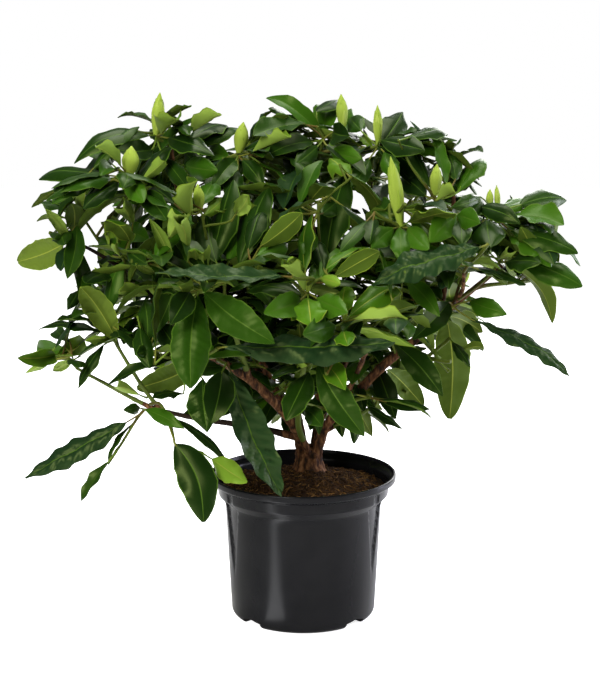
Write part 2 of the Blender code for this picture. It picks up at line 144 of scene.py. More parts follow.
NICK_FOOT_Z = COLLAR_FOOT_Z - 4 * MM
POCKET_ANGLES = (-45.6, 45.6, 135.0, -135.0)
POCKET_HALF_WIDTH = 20 * MM
POCKET_TOP_HALF_WIDTH = 14.5 * MM
POCKET_HEIGHT = 9.5 * MM
POCKET_SHOULDER = 7 * MM
POCKET_INNER_R = 60 * MM
POCKET_OUTER_R = 105 * MM
POCKET_CUT_Z = -10 * MM
CAVITY_CUT_Z = -20 * MM
DRAIN_R = 5 * MM
DRAIN_AT_R = 73 * MM
DRAIN_CUT = 20 * MM
DRAIN_SIDES = 24
EDGE_RUN = 0.5
SHARP_POT_EDGE = math.radians(32)
PLASTIC_TINTS = ((0.0038, 0.0039, 0.0046), (0.0063, 0.0063, 0.0071))
PLASTIC_TINT_SPAN = (0.35, 0.75)
PLASTIC_ROUGHNESS = (0.20, 0.30)
PLASTIC_SHINE = 0.105
DUST_SCALE, DUST_DETAIL = 34.0, 6.0
PEEL_SCALE, PEEL_DETAIL = 420.0, 3.0
STREAK_SCALE = (60.0, 60.0, 2.5)
STREAK_SHARE = 2.0
PLASTIC_RELIEF = (0.10, 0.4 * MM)
SMOOTH_DETAIL = 2.0


def smooth_step(low, high, value):
    share = min(max((value - low) / (high - low), 0.0), 1.0)
    return share * share * (3.0 - 2.0 * share)


def keep_mesh(name, bm, *materials):
    """Turns a bmesh into a shown object at the origin."""
    mesh = bpy.data.meshes.new(name)
    bm.to_mesh(mesh)
    bm.free()
    for material in materials:
        mesh.materials.append(material)
    piece = bpy.data.objects.new(name, mesh)
    bpy.context.scene.collection.objects.link(piece)
    return piece


def spun(profile, steps):
    """A closed turned skin from a profile of radius and height."""
    bm = bmesh.new()
    verts = [bm.verts.new((r, 0.0, z)) for r, z in profile]
    edges = [bm.edges.new(pair) for pair in zip(verts, verts[1:])]
    bmesh.ops.spin(bm, geom=verts + edges, cent=(0, 0, 0), axis=(0, 0, 1),
                   angle=math.tau, steps=steps, use_merge=True)
    bmesh.ops.remove_doubles(bm, verts=bm.verts, dist=WELD_GAP)
    bmesh.ops.recalc_face_normals(bm, faces=bm.faces)
    return bm


def arc(centre_r, centre_z, radius, start, end, count):
    """Points of a round corner in the turned profile, by angle in degrees."""
    points = []
    for step in range(count + 1):
        angle = math.radians(start + (end - start) * step / count)
        points.append((centre_r + radius * math.cos(angle), centre_z + radius * math.sin(angle)))
    return points


def soft_corner(radius, height, steps):
    """Points of a soft corner in the turned profile, each by its way out and up from the sharp one."""
    return [(radius + out, height + up) for out, up in steps]


def wall_levels(offset, low_z):
    """The tapered wall from top to foot, in enough levels to take the flutes."""
    points = []
    for level in range(WALL_LEVELS + 1):
        share = level / WALL_LEVELS
        z = WALL_TOP_Z + share * (low_z - WALL_TOP_Z)
        points.append((WALL_TOP_R + share * (WALL_FOOT_R - WALL_TOP_R) - offset, z))
    return points


def press_flutes(bm):
    """Presses the wedge flutes into the wall and the small nicks into the collar."""
    for vert in bm.verts:
        radius = math.hypot(vert.co.x, vert.co.y)
        if radius < FOOT_R - FOOT_ROUND:
            continue
        bearing = math.degrees(math.atan2(vert.co.y, vert.co.x)) - FRONT_ANGLE
        bearing = (bearing + 180.0) % 360.0 - 180.0
        deep = 0.0
        drop = (vert.co.z - FLUTE_FOOT_Z) / (FLUTE_TOP_Z - FLUTE_FOOT_Z)
        if 0.0 < drop < 1.0:
            for angle in FLUTE_ANGLES:
                inside = FLUTE_HALF_ANGLE * drop - abs(bearing - angle)
                slope = smooth_step(0.0, FLUTE_EDGE_ANGLE, inside)
                deep += FLUTE_DEPTH * min(1.0, drop * FLUTE_DEEPENING) * slope
        if NICK_FOOT_Z < vert.co.z < NICK_TOP_Z:
            for angle in NICK_ANGLES:
                inside = NICK_HALF_ANGLE - abs(bearing - angle)
                deep += NICK_DEPTH * smooth_step(0.0, FLUTE_EDGE_ANGLE, inside)
        if deep:
            vert.co.xy *= (radius - deep) / radius


def edges_along(bm, axis):
    """The edges of a unit block or rod that run along one axis."""
    return [edge for edge in bm.edges if abs(edge.verts[0].co[axis] - edge.verts[1].co[axis]) > EDGE_RUN]


def pocket(angle, grow, low_z):
    """An arched block on a radius, with sloping sides and a low peak."""
    bm = bmesh.new()
    bmesh.ops.create_cube(bm, size=1.0)
    bmesh.ops.subdivide_edges(bm, edges=edges_along(bm, 1), cuts=1, use_grid_fill=True)
    for vert in bm.verts:
        top, middle = vert.co.z > 0, abs(vert.co.y) < 0.5 * EDGE_RUN
        half = (POCKET_TOP_HALF_WIDTH if top else POCKET_HALF_WIDTH) + grow
        height = POCKET_HEIGHT if middle else POCKET_SHOULDER
        vert.co.x = POCKET_OUTER_R if vert.co.x > 0 else POCKET_INNER_R - grow
        vert.co.y = half * (0.0 if middle else math.copysign(1.0, vert.co.y))
        vert.co.z = height + grow if top else low_z
    bmesh.ops.recalc_face_normals(bm, faces=bm.faces)
    turn = Matrix.Rotation(math.radians(angle + FRONT_ANGLE), 3, "Z")
    bmesh.ops.rotate(bm, verts=bm.verts, matrix=turn)
    return keep_mesh("cutter", bm)


def drain(angle):
    """A round cutter through the roof of a pocket."""
    bm = bmesh.new()
    bmesh.ops.create_cone(bm, cap_ends=True, segments=DRAIN_SIDES, radius1=DRAIN_R, radius2=DRAIN_R,
                          depth=DRAIN_CUT)
    turn = math.radians(angle + FRONT_ANGLE)
    bmesh.ops.translate(bm, verts=bm.verts, vec=(DRAIN_AT_R * math.cos(turn), DRAIN_AT_R * math.sin(turn),
                                                 POCKET_HEIGHT))
    return keep_mesh("cutter", bm)


def carve(piece, cutters):
    """Cuts each cutter out of the piece and leaves a plain mesh."""
    for cutter in cutters:
        cut = piece.modifiers.new("cut", "BOOLEAN")
        cut.operation = "DIFFERENCE"
        cut.solver = "EXACT"
        cut.object = cutter
    bpy.context.view_layer.update()
    carved = bpy.data.meshes.new_from_object(piece.evaluated_get(bpy.context.evaluated_depsgraph_get()))
    piece.modifiers.clear()
    piece.data = carved
    for cutter in cutters:
        bpy.data.objects.remove(cutter)
    return piece


def plain(name, tint, rough, **sockets):
    """A material of one colour, with its sockets' other values by name."""
    material = bpy.data.materials.new(name)
    material.use_nodes = True
    shader = material.node_tree.nodes["Principled BSDF"]
    shader.inputs["Base Color"].default_value = (*tint, 1.0)
    shader.inputs["Roughness"].default_value = rough
    for socket, value in sockets.items():
        shader.inputs[socket].default_value = value
    return material


def drawn_out(tree, scale):
    """Object coordinates, scaled for each axis."""
    place = tree.nodes.new("ShaderNodeTexCoord")
    mapping = tree.nodes.new("ShaderNodeMapping")
    mapping.inputs["Scale"].default_value = scale
    tree.links.new(place.outputs["Object"], mapping.inputs["Vector"])
    return mapping.outputs["Vector"]


def patches(tree, vector, scale, detail):
    """A noise pattern at the given coordinates."""
    pattern = tree.nodes.new("ShaderNodeTexNoise")
    pattern.inputs["Scale"].default_value = scale
    pattern.inputs["Detail"].default_value = detail
    tree.links.new(vector, pattern.inputs["Vector"])
    return pattern.outputs["Fac"]


def colour_by(tree, pattern, stops):
    """Colours the material along a pattern, by stops of position and colour from first to last."""
    ramp = tree.nodes.new("ShaderNodeValToRGB")
    elements = ramp.color_ramp.elements
    for element, (position, tint) in zip(elements, (stops[0], stops[-1])):
        element.position = position
        element.color = (*tint, 1.0)
    for position, tint in stops[1:-1]:
        elements.new(position).color = (*tint, 1.0)
    tree.links.new(pattern, ramp.inputs["Fac"])
    tree.links.new(ramp.outputs["Color"], tree.nodes["Principled BSDF"].inputs["Base Color"])


def raise_by(tree, height, relief):
    """Gives the material a relief of this strength and distance from a pattern's height."""
    bump = tree.nodes.new("ShaderNodeBump")
    bump.inputs["Strength"].default_value, bump.inputs["Distance"].default_value = relief
    tree.links.new(height, bump.inputs["Height"])
    tree.links.new(bump.outputs["Normal"], tree.nodes["Principled BSDF"].inputs["Normal"])


def plastic_material():
    """Dark grey satin plastic: a faint orange-peel, moulding streaks and a little dust."""
    material = plain("pot_plastic", PLASTIC_TINTS[0], PLASTIC_ROUGHNESS[0],
                     **{"Specular IOR Level": PLASTIC_SHINE})
    tree = material.node_tree
    place = tree.nodes.new("ShaderNodeTexCoord").outputs["Object"]
    dust = patches(tree, place, DUST_SCALE, DUST_DETAIL)
    colour_by(tree, dust, list(zip(PLASTIC_TINT_SPAN, PLASTIC_TINTS)))
    rough = tree.nodes.new("ShaderNodeMapRange")
    rough.inputs["To Min"].default_value, rough.inputs["To Max"].default_value = PLASTIC_ROUGHNESS
    tree.links.new(dust, rough.inputs["Value"])
    tree.links.new(rough.outputs["Result"], tree.nodes["Principled BSDF"].inputs["Roughness"])
    peel = patches(tree, place, PEEL_SCALE, PEEL_DETAIL)
    streaks = patches(tree, drawn_out(tree, STREAK_SCALE), 1.0, SMOOTH_DETAIL)
    blend = tree.nodes.new("ShaderNodeMath")
    blend.operation = "MULTIPLY_ADD"
    blend.inputs[1].default_value = STREAK_SHARE
    tree.links.new(streaks, blend.inputs[0])
    tree.links.new(peel, blend.inputs[2])
    raise_by(tree, blend.outputs["Value"], PLASTIC_RELIEF)
    return material


MOUTH_R = LIP_R - LIP_THICK
outer = [(0.0, POT_HEIGHT), (MOUTH_R, POT_HEIGHT)]
outer += arc(LIP_R - LIP_ROUND, POT_HEIGHT - LIP_ROUND, LIP_ROUND, 90, 0, ROUND_STEPS)
outer += arc(LIP_R - LIP_CURL, POT_HEIGHT - LIP_DEPTH + LIP_CURL_RISE, LIP_CURL, 0, LIP_CURL_END, CURL_STEPS)
outer += soft_corner(COLLAR_R, COLLAR_TOP_Z, COLLAR_TOP_SOFT)
for share in COLLAR_LEVELS:
    outer.append((COLLAR_R + (COLLAR_FOOT_R - COLLAR_R) * share,
                  COLLAR_TOP_Z + (COLLAR_FOOT_Z - COLLAR_TOP_Z) * share))
outer += soft_corner(COLLAR_FOOT_R, COLLAR_FOOT_Z, COLLAR_FOOT_SOFT)
outer += soft_corner(SHOULDER_R, SHOULDER_Z, SHOULDER_SOFT)
outer += wall_levels(0.0, WALL_FOOT_Z)
outer += arc(FOOT_R, FOOT_ROUND + FOOT_LIFT, FOOT_ROUND, 0, -90, FOOT_STEPS)[1:-1]
outer += [(FOOT_R, 0.0), (POCKET_INNER_R, 0.0), (0.0, 0.0)]
inner = [(0.0, POT_HEIGHT + MOUTH_SOFT[0][1])]
inner += soft_corner(MOUTH_R, POT_HEIGHT, MOUTH_SOFT)
inner += soft_corner(COLLAR_R - POT_WALL, POT_HEIGHT, NECK_SOFT)
inner += [(COLLAR_FOOT_R - POT_WALL, COLLAR_FOOT_Z + INNER_RISE),
          (SHOULDER_R - POT_WALL, SHOULDER_Z + INNER_RISE)]
inner += wall_levels(POT_WALL, WALL_FOOT_Z + INNER_RISE)
inner += [(FOOT_R - POT_WALL, POT_WALL), (0.0, POT_WALL)]
pot_skin, cavity_skin = spun(outer, POT_SEGMENTS), spun(inner, POT_SEGMENTS)
for skin in (pot_skin, cavity_skin):
    press_flutes(skin)
cavity = carve(keep_mesh("cutter", cavity_skin),
               [pocket(angle, POT_WALL, CAVITY_CUT_Z) for angle in POCKET_ANGLES])
pot = carve(keep_mesh("nursery_pot", pot_skin), [cavity])
foot_cutters = [pocket(angle, 0.0, POCKET_CUT_Z) for angle in POCKET_ANGLES]
carve(pot, foot_cutters + [drain(angle) for angle in POCKET_ANGLES])
pot.data.materials.clear()
pot.data.materials.append(plastic_material())
pot.data.shade_smooth()
pot.data.set_sharp_from_angle(angle=SHARP_POT_EDGE)
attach(pot, "root")
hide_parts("pot")

# Soil
# Moist peat mix, dark red-brown and fibrous. It lies loose inside the wall, 18 mm below the lip at
# the edge and heaped a little at the stems, strewn with crumbs and bits of fibre.
SOIL_TOP_Z = 176.2 * MM
SOIL_EDGE_Z = 161 * MM
SOIL_CROWN_R = 11.5 * MM
SOIL_FOOT_Z = 128 * MM
SOIL_EDGE_R = COLLAR_FOOT_R - POT_WALL - 0.4 * MM
SOIL_SETTLES = 0.6 * MM
SOIL_SHOULDER_GAP = 6 * MM
SOIL_FOOT_GAP = 7 * MM
SOIL_RINGS = 46
SOIL_SEGMENTS = 170
# Lumps of the bed: height, how many to a metre, and where the pattern is cut
LUMPS = ((2.6 * MM, 42, 0.0), (1.5 * MM, 130, 4.0))
GRAINS = ((1.1 * MM, 420.0), (0.6 * MM, 900.0))
CRUMB_COUNT = 3200
CRUMB_EDGE_GAP = 3 * MM
CRUMB_SIZES = (0.9, 1.3, 1.6, 2.8)
CRUMB_TINTS = (0, 0, 1, 1, 2)
CRUMB_SINK = 0.4
FIBRE_COUNT = 900
FIBRE_EDGE_GAP = 9 * MM
FIBRE_LENGTHS = (5, 16)
FIBRE_STEPS = 5
FIBRE_RISE = (0.9, 1.2)
FIBRE_R = (0.25, 0.75)
FIBRE_END_R = (0.12 * MM, 0.1 * MM)
FIBRE_TINTS = (1, 2, 2, 3)
SOIL_TINTS = ((0.014, 0.0060, 0.0014), (0.028, 0.0120, 0.0024), (0.050, 0.023, 0.0050), (0.135, 0.070, 0.020))
SOIL_ROUGHNESS = 0.93
DULL = {"Specular IOR Level": 0.15}
# Faces within this angle of each other are shaded as one skin
SHARP_EDGE = math.radians(50)
# A rod's side points are turned from one of these, whichever lies well across its course
STEEP = 0.6
STEEP_GUIDE = (0.31, -0.93, 0.17)
FLAT_GUIDE = (0.1, 0.2, 0.97)
chance = random.Random(11)


class Spray:
    """Gathers many small shapes, each a bent copy of one blank, into a single mesh."""

    def __init__(self):
        self.points, self.sizes, self.count = [], {}, 0

    def add(self, points, faces, slots):
        for size, group in faces.items():
            chosen = slots[size] if isinstance(slots, dict) else np.full(len(group), slots)
            self.sizes.setdefault(size, []).append((group + self.count, chosen))
        self.points.append(points)
        self.count += len(points)

    def keep(self, name, materials):
        mesh = bpy.data.meshes.new(name)
        faces, slots = [], []
        for groups in self.sizes.values():
            faces += np.concatenate([group for group, chosen in groups]).tolist()
            slots.append(np.concatenate([chosen for group, chosen in groups]))
        mesh.from_pydata(np.concatenate(self.points).tolist(), [], faces)
        for material in materials:
            mesh.materials.append(material)
        mesh.polygons.foreach_set("material_index", np.concatenate(slots).astype(np.int32))
        mesh.shade_smooth()
        mesh.set_sharp_from_angle(angle=SHARP_EDGE)
        piece = bpy.data.objects.new(name, mesh)
        bpy.context.scene.collection.objects.link(piece)
        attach(piece, "root")
        return piece


def blank_of(bm):
    """A bmesh as points and faces grouped by their number of corners."""
    bmesh.ops.recalc_face_normals(bm, faces=bm.faces)
    bm.verts.index_update()
    points = np.array([vert.co[:] for vert in bm.verts])
    faces = {}
    for face in bm.faces:
        faces.setdefault(len(face.verts), []).append([vert.index for vert in face.verts])
    bm.free()
    return points, {size: np.array(group) for size, group in faces.items()}


def rod_blank(rings, sides):
    """A closed rod in unit measure: its share along in z, and its side's direction in x and y."""
    bm = bmesh.new()
    bmesh.ops.create_cone(bm, cap_ends=True, segments=sides, radius1=1.0, radius2=1.0, depth=1.0)
    bmesh.ops.subdivide_edges(bm, edges=edges_along(bm, 2), cuts=rings - 1)
    bmesh.ops.translate(bm, verts=bm.verts, vec=(0.0, 0.0, 0.5))
    return blank_of(bm)


def rod(blank, path, radii, relief=None):
    """The rod blank bent along a path, with its radius read at even shares."""
    points, faces = blank
    path, radii = np.array(path, float), np.array(radii, float)
    place = np.clip(points[:, 2], 0.0, 1.0) * (len(path) - 1)
    low = np.minimum(place.astype(int), len(path) - 2)
    part = (place - low)[:, None]
    centre = path[low] * (1 - part) + path[low + 1] * part
    tangents = np.gradient(path, axis=0)
    tangents /= np.linalg.norm(tangents, axis=1)[:, None]
    along = tangents[low] * (1 - part) + tangents[low + 1] * part
    along /= np.linalg.norm(along, axis=1)[:, None]
    guide = np.array(STEEP_GUIDE if abs(np.mean(tangents, axis=0)[2]) > STEEP else FLAT_GUIDE)
    side = np.cross(along, guide)
    side /= np.linalg.norm(side, axis=1)[:, None]
    other = np.cross(along, side)
    shares = np.linspace(0.0, 1.0, len(radii))
    reach = np.interp(points[:, 2], shares, radii)
    if relief:
        length = np.linalg.norm(np.diff(path, axis=0), axis=1).sum()
        reach = reach * np.array([relief(x, y, z * length) for x, y, z in points])
    offset = side * points[:, :1] + other * points[:, 1:2]
    return centre + offset * reach[:, None], faces


def soil_height(x, y):
    """The height of the heaped and lumpy bed."""
    share = smooth_step(SOIL_CROWN_R, COLLAR_FOOT_R - POT_WALL, math.hypot(x, y))
    z = SOIL_TOP_Z + share * (SOIL_EDGE_Z - SOIL_TOP_Z)
    for height, number, cut in LUMPS:
        z += height * noise.noise((x * number, y * number, cut))
    return z - SOIL_SETTLES


def strewn(edge_gap):
    """A place on the bed, dealt out evenly by area."""
    angle, radius = chance.uniform(0, math.tau), (SOIL_EDGE_R - edge_gap) * math.sqrt(chance.random())
    return radius * math.cos(angle), radius * math.sin(angle)


heap = [(SOIL_EDGE_R * ring / SOIL_RINGS, SOIL_TOP_Z) for ring in range(SOIL_RINGS + 1)]
heap += [(SHOULDER_R - SOIL_SHOULDER_GAP, SHOULDER_Z), (WALL_TOP_R - SOIL_FOOT_GAP, SOIL_FOOT_Z),
         (0.0, SOIL_FOOT_Z)]
bed_skin = spun(heap, SOIL_SEGMENTS)
for vert in bed_skin.verts:
    if vert.co.z > SHOULDER_Z + 1 * MM:
        vert.co.z = soil_height(vert.co.x, vert.co.y)
        vert.co.z += sum(height * noise.noise(vert.co * number) for height, number in GRAINS)
soil = Spray()
bed_points, bed_faces = blank_of(bed_skin)
bed_tints = {size: (np.arange(len(group)) % 3 == 1).astype(int) for size, group in bed_faces.items()}
soil.add(bed_points, bed_faces, bed_tints)
crumb_skin = bmesh.new()
bmesh.ops.create_icosphere(crumb_skin, subdivisions=1, radius=1.0)
crumb_points, crumb_faces = blank_of(crumb_skin)
for _ in range(CRUMB_COUNT):
    x, y = strewn(CRUMB_EDGE_GAP)
    size = np.array([chance.uniform(0.5, 1.0) for _ in range(3)]) * chance.choice(CRUMB_SIZES) * MM
    spin = chance.uniform(0, math.tau)
    turn = np.array(Matrix.Rotation(spin, 3, Vector((chance.random(), 1.0, chance.random()))))
    place = np.array((x, y, soil_height(x, y) + CRUMB_SINK * size[2]))
    soil.add((crumb_points * size) @ turn.T + place, crumb_faces, chance.choice(CRUMB_TINTS))
fibre_blank = rod_blank(FIBRE_STEPS, 4)
for _ in range(FIBRE_COUNT):
    x, y = strewn(FIBRE_EDGE_GAP)
    heading, length = chance.uniform(0, math.tau), chance.uniform(*FIBRE_LENGTHS) * MM
    bend = chance.uniform(-1.0, 1.0)
    path = []
    for step in range(FIBRE_STEPS + 1):
        share = step / FIBRE_STEPS - 0.5
        turned = heading + bend * share
        px, py = x + length * share * math.cos(turned), y + length * share * math.sin(turned)
        path.append((px, py, soil_height(px, py) + (FIBRE_RISE[0] + FIBRE_RISE[1] * chance.random()) * MM))
    radii = [FIBRE_END_R[0]] + [chance.uniform(*FIBRE_R) * MM] * 3 + [FIBRE_END_R[1]]
    soil.add(*rod(fibre_blank, path, radii), chance.choice(FIBRE_TINTS))
soil_piece = soil.keep("peat_soil", [plain("soil_%d" % index, tint, SOIL_ROUGHNESS, **DULL)
                                     for index, tint in enumerate(SOIL_TINTS)])
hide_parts("soil")

# Stems and boughs
# Woody stems with thin flaky red-brown bark, which stand close together on one root crown. Each bough
# tapers, bends a little at every year's growth and carries the ring scars of old buds there.
TRUNK_X = 7 * MM
TRUNK_Y = 25 * MM
TRUNK_TOP_Z = 200 * MM
TRUNK_FOOT_R = 20.5 * MM
FORK_RING_R = 10.8 * MM
LOW_RING_SHARE = 0.8
BOUGH_SINK = 8 * MM
CROWN_SINK = 9 * MM
CROWN_STEP = 5 * MM
CROWN_TAPER = (1.25, 1.12, 0.98, 0.88, 0.82, 0.78, 0.72, 0.62, 0.35)
# A bough's bearing from the trunk, its two radii and its route beyond the fork, in mm
BOUGHS = {
    "bough_left": (195, (6.2, 3.4), ((-13, 0, 238), (-50, -30, 289), (-89, -60, 325), (-110, -80, 340))),
    "bough_centre": (265, (3.6, 2.6), ((-6, -12, 245), (-1, -55, 310), (3, -95, 375), (0, -130, 420))),
    "bough_right": (335, (5.6, 2.8), ((29, 15, 235), (54, 0, 267), (109, -20, 326), (150, -26, 362),
                                      (180, -30, 392), (236, -30, 440))),
    "bough_middle": (50, (4.8, 3.2), ((18, 45, 250), (22, 55, 340), (20, 60, 420), (5, 50, 520))),
    "bough_back": (125, (5.0, 3.2), ((-8, 60, 245), (-22, 110, 310), (-40, 170, 380), (-50, 220, 430))),
}
# A limb's parent and where along it the limb leaves, its two radii and its route, in mm
LIMBS = {
    "limb_top_left": ("bough_left", 0.30, (3.6, 2.4), ((-65, 20, 340), (-110, 30, 430), (-150, 30, 520),
                                                       (-160, 30, 575))),
    "limb_low_left": ("bough_left", 0.20, (3.6, 2.4), ((-66, 2, 236), (-120, -36, 254), (-182, -52, 271))),
    "limb_far_left": ("limb_top_left", 0.30, (3.2, 1.5), ((-130, 12, 360), (-185, 6, 400), (-218, -6, 430),
                                                          (-252, -22, 457), (-279, -30, 472))),
    "limb_left_shoot": ("limb_low_left", 0.94, (2.4, 1.9), ((-196, -56, 306), (-222, -66, 356))),
    "limb_left_tip": ("limb_low_left", 0.985, (2.3, 1.8), ((-226, -60, 298), (-266, -66, 322))),
    "limb_left_front": ("bough_left", 0.62, (3.0, 2.2), ((-78, -78, 360), (-92, -120, 400))),
    "limb_right_top": ("bough_right", 0.74, (3.0, 2.4), ((176, -10, 440), (180, 0, 520))),
    "limb_right_front": ("bough_right", 0.80, (2.6, 2.0), ((185, -60, 415), (184, -90, 440))),
    "limb_right_low": ("bough_right", 0.14, (2.8, 2.2), ((70, 30, 245), (100, 38, 262))),
    "limb_front_right": ("bough_right", 0.30, (3.0, 2.2), ((70, -70, 335), (78, -120, 380))),
    "limb_back_right": ("bough_middle", 0.20, (3.8, 2.8), ((60, 90, 310), (120, 140, 350), (160, 170, 370))),
    "limb_back_left": ("bough_back", 0.24, (3.6, 2.6), ((-70, 100, 300), (-150, 120, 350), (-210, 130, 390))),
}
# A bough's first part lies in the root crown, so its limbs' places are read over the rest
FORK_SHARE = 0.14
# Younger wood is olive green, 1, or smooth and dark, 2
LIMB_BARK = {"bough_centre": 1, "limb_left_shoot": 1, "limb_left_tip": 1, "limb_left_front": 1,
             "limb_right_low": 1, "limb_low_left": 2, "limb_far_left": 2}
OLD_WOOD_SHARE = 0.3
LIMB_FOOT_SHARE = 0.13
# How much wider than its first radius a bough and a limb start, and how they narrow from there
BOUGH_SWELL = (1.45, 1.1, 1.0, 0.8)
LIMB_SWELL = (1.5, 1.05, 1.0)
STEP_LENGTH = 4 * MM
BOUGH_SIDES, LIMB_SIDES, CROWN_SIDES = 18, 12, 36
CROWN_ROWS = 36
# Twigs may leave a bough and a limb from this point of the path on
BOUGH_FIRST_POINT, LIMB_FIRST_POINT = 8, 4
BOUGH_WANDER, LIMB_WANDER = 2.5 * MM, 3 * MM
WANDER_SCALE = 16
AXIS_SHIFT = 9
WANDER_HOLD = 0.5
LIMB_SEED, LIMB_BARK_SEED, CROWN_SEED = 20, 9, 31
CROWN_BARK_R = 9 * MM
# Bark relief, as shares of the stem's radius: fine flakes, broad plates and a ring at each year's growth
BARK_BASE = 0.97
FLAKES = (2.3, 70.0, 0.15)
PLATES = (5.0, 190.0, 0.17)
FULL_RELIEF_R = 4 * MM
RING_GAP = 62 * MM
RING_PLACE = 30 * MM
RING_SHIFT = 10 * MM
RING_SPREAD = 0.0000045
RING_HEIGHT = 0.13
# The bark's cracks, darkened partly as painted shade, its body, and its paler raised flakes, lightened partly as
# painted highlight, and where each lies in the pattern
BARK_TINTS_AND_PAINTED_LIGHT = ((0.36, (0.012, 0.005, 0.002)), (0.5, (0.070, 0.027, 0.009)), (0.70, (0.215, 0.100, 0.040)))
BARK_SCALE = (240.0, 240.0, 65.0)
BARK_DETAIL = 5.0
BARK_RELIEF = (0.9, 1.0 * MM)
BARK_SHINE = 0.2
YOUNG_BARK_TINT, DARK_BARK_TINT = (0.072, 0.102, 0.014), (0.022, 0.013, 0.008)
BARK_ROUGHNESS, YOUNG_BARK_ROUGHNESS = 0.85, 0.6
wood_points, wood_headings, wood_radii = [], [], []


def smooth_route(points, steps):
    """Points read at even shares of a smooth curve through the route's own points."""
    spans = len(points) - 1
    padded = [2 * points[0] - points[1]] + list(points) + [2 * points[-1] - points[-2]]
    route = []
    for step in range(steps + 1):
        share = step / steps * spans
        span = min(int(share), spans - 1)
        t = share - span
        a, b, c, d = padded[span:span + 4]
        route.append(0.5 * (2 * b + (c - a) * t + (2 * a - 5 * b + 4 * c - d) * t ** 2
                            + (3 * b - a - 3 * c + d) * t ** 3))
    return route


def note_wood(path, radii):
    """Keeps a branch's points, so that later twigs can grow from them."""
    for index in range(1, len(path)):
        wood_points.append(path[index])
        wood_headings.append((path[index] - path[index - 1]).normalized())
        wood_radii.append(radii[0] + (radii[-1] - radii[0]) * index / (len(path) - 1))


def bark_relief(seed, radius):
    """Flakes that lie along the stem, and a swollen ring scar at each year's growth."""
    def relief(x, y, along):
        flake = noise.noise((x * FLAKES[0] + seed, y * FLAKES[0], along * FLAKES[1])) * FLAKES[2]
        plate = max(0.0, noise.noise((x * PLATES[0], y * PLATES[0] + seed, along * PLATES[1]))) * PLATES[2]
        from_ring = (along + seed * RING_SHIFT) % RING_GAP - RING_PLACE
        ring = math.exp(-from_ring ** 2 / RING_SPREAD)
        return BARK_BASE + (flake + plate) * min(1.0, radius / FULL_RELIEF_R) + RING_HEIGHT * ring
    return relief


def wander(path, amount, seed):
    """Small bends of natural growth, which leave both ends in place."""
    bent = []
    for index, point in enumerate(path):
        hold = max(0.0, math.sin(math.pi * index / (len(path) - 1))) ** WANDER_HOLD
        high, aside = point.z * WANDER_SCALE, point.x * WANDER_SCALE
        shift = Vector([noise.noise((high + axis * AXIS_SHIFT, aside, seed)) for axis in range(3)])
        bent.append(point + shift * amount * hold)
    return bent


def bark_slots(blank, young, share):
    """Young wood keeps brown bark over the first part of its length."""
    return {size: np.where(blank[0][group][:, :, 2].mean(axis=1) < share, 0, young)
            for size, group in blank[1].items()}


def grown_path(points, amount, seed):
    """A stem's course through its points, in even steps and with small bends."""
    steps = int(sum((b - a).length for a, b in zip(points, points[1:])) / STEP_LENGTH)
    return wander(smooth_route(points, steps), amount, seed)


bark = Spray()
routes = {}
for seed, (name, (bearing, radii, route)) in enumerate(BOUGHS.items()):
    turn = math.radians(bearing)
    ring_x, ring_y = FORK_RING_R * math.cos(turn), FORK_RING_R * math.sin(turn)
    foot = Vector((TRUNK_X + ring_x, TRUNK_Y + ring_y, TRUNK_TOP_Z))
    off_x, off_y = foot.x - TRUNK_X, foot.y - TRUNK_Y
    low = Vector((TRUNK_X + LOW_RING_SHARE * off_x, TRUNK_Y + LOW_RING_SHARE * off_y, SOIL_TOP_Z - BOUGH_SINK))
    path = grown_path([low, foot] + [Vector(point) * MM for point in route], BOUGH_WANDER, seed)
    thick, thin = radii[0] * MM, radii[1] * MM
    radii = (*[thick * share for share in BOUGH_SWELL], thin)
    blank = rod_blank(2 * (len(path) - 1), BOUGH_SIDES)
    bark.add(*rod(blank, path, radii, bark_relief(seed, thick)),
             bark_slots(blank, LIMB_BARK.get(name, 0), OLD_WOOD_SHARE))
    routes[name] = path
    note_wood(path[BOUGH_FIRST_POINT:], (radii[1], thin))
for seed, (name, (parent, share, radii, route)) in enumerate(LIMBS.items()):
    fork = routes[parent][int((FORK_SHARE + (1 - FORK_SHARE) * share) * (len(routes[parent]) - 1))]
    path = grown_path([fork] + [Vector(point) * MM for point in route], LIMB_WANDER, seed + LIMB_SEED)
    thick, thin = radii[0] * MM, radii[1] * MM
    swollen = (*[thick * share for share in LIMB_SWELL], 0.5 * (thick + thin), thin)
    blank = rod_blank(2 * (len(path) - 1), LIMB_SIDES)
    bark.add(*rod(blank, path, swollen, bark_relief(seed + LIMB_BARK_SEED, thick)),
             bark_slots(blank, LIMB_BARK.get(name, 0), LIMB_FOOT_SHARE))
    routes[name] = path
    note_wood(path[LIMB_FIRST_POINT:], (thick, thin))
root_foot = Vector((TRUNK_X, TRUNK_Y, SOIL_TOP_Z - CROWN_SINK))
crown_path = [root_foot + UP * CROWN_STEP * step for step in range(len(CROWN_TAPER))]
bark.add(*rod(rod_blank(CROWN_ROWS, CROWN_SIDES), crown_path, [TRUNK_FOOT_R * share for share in CROWN_TAPER],
              bark_relief(CROWN_SEED, CROWN_BARK_R)), 0)


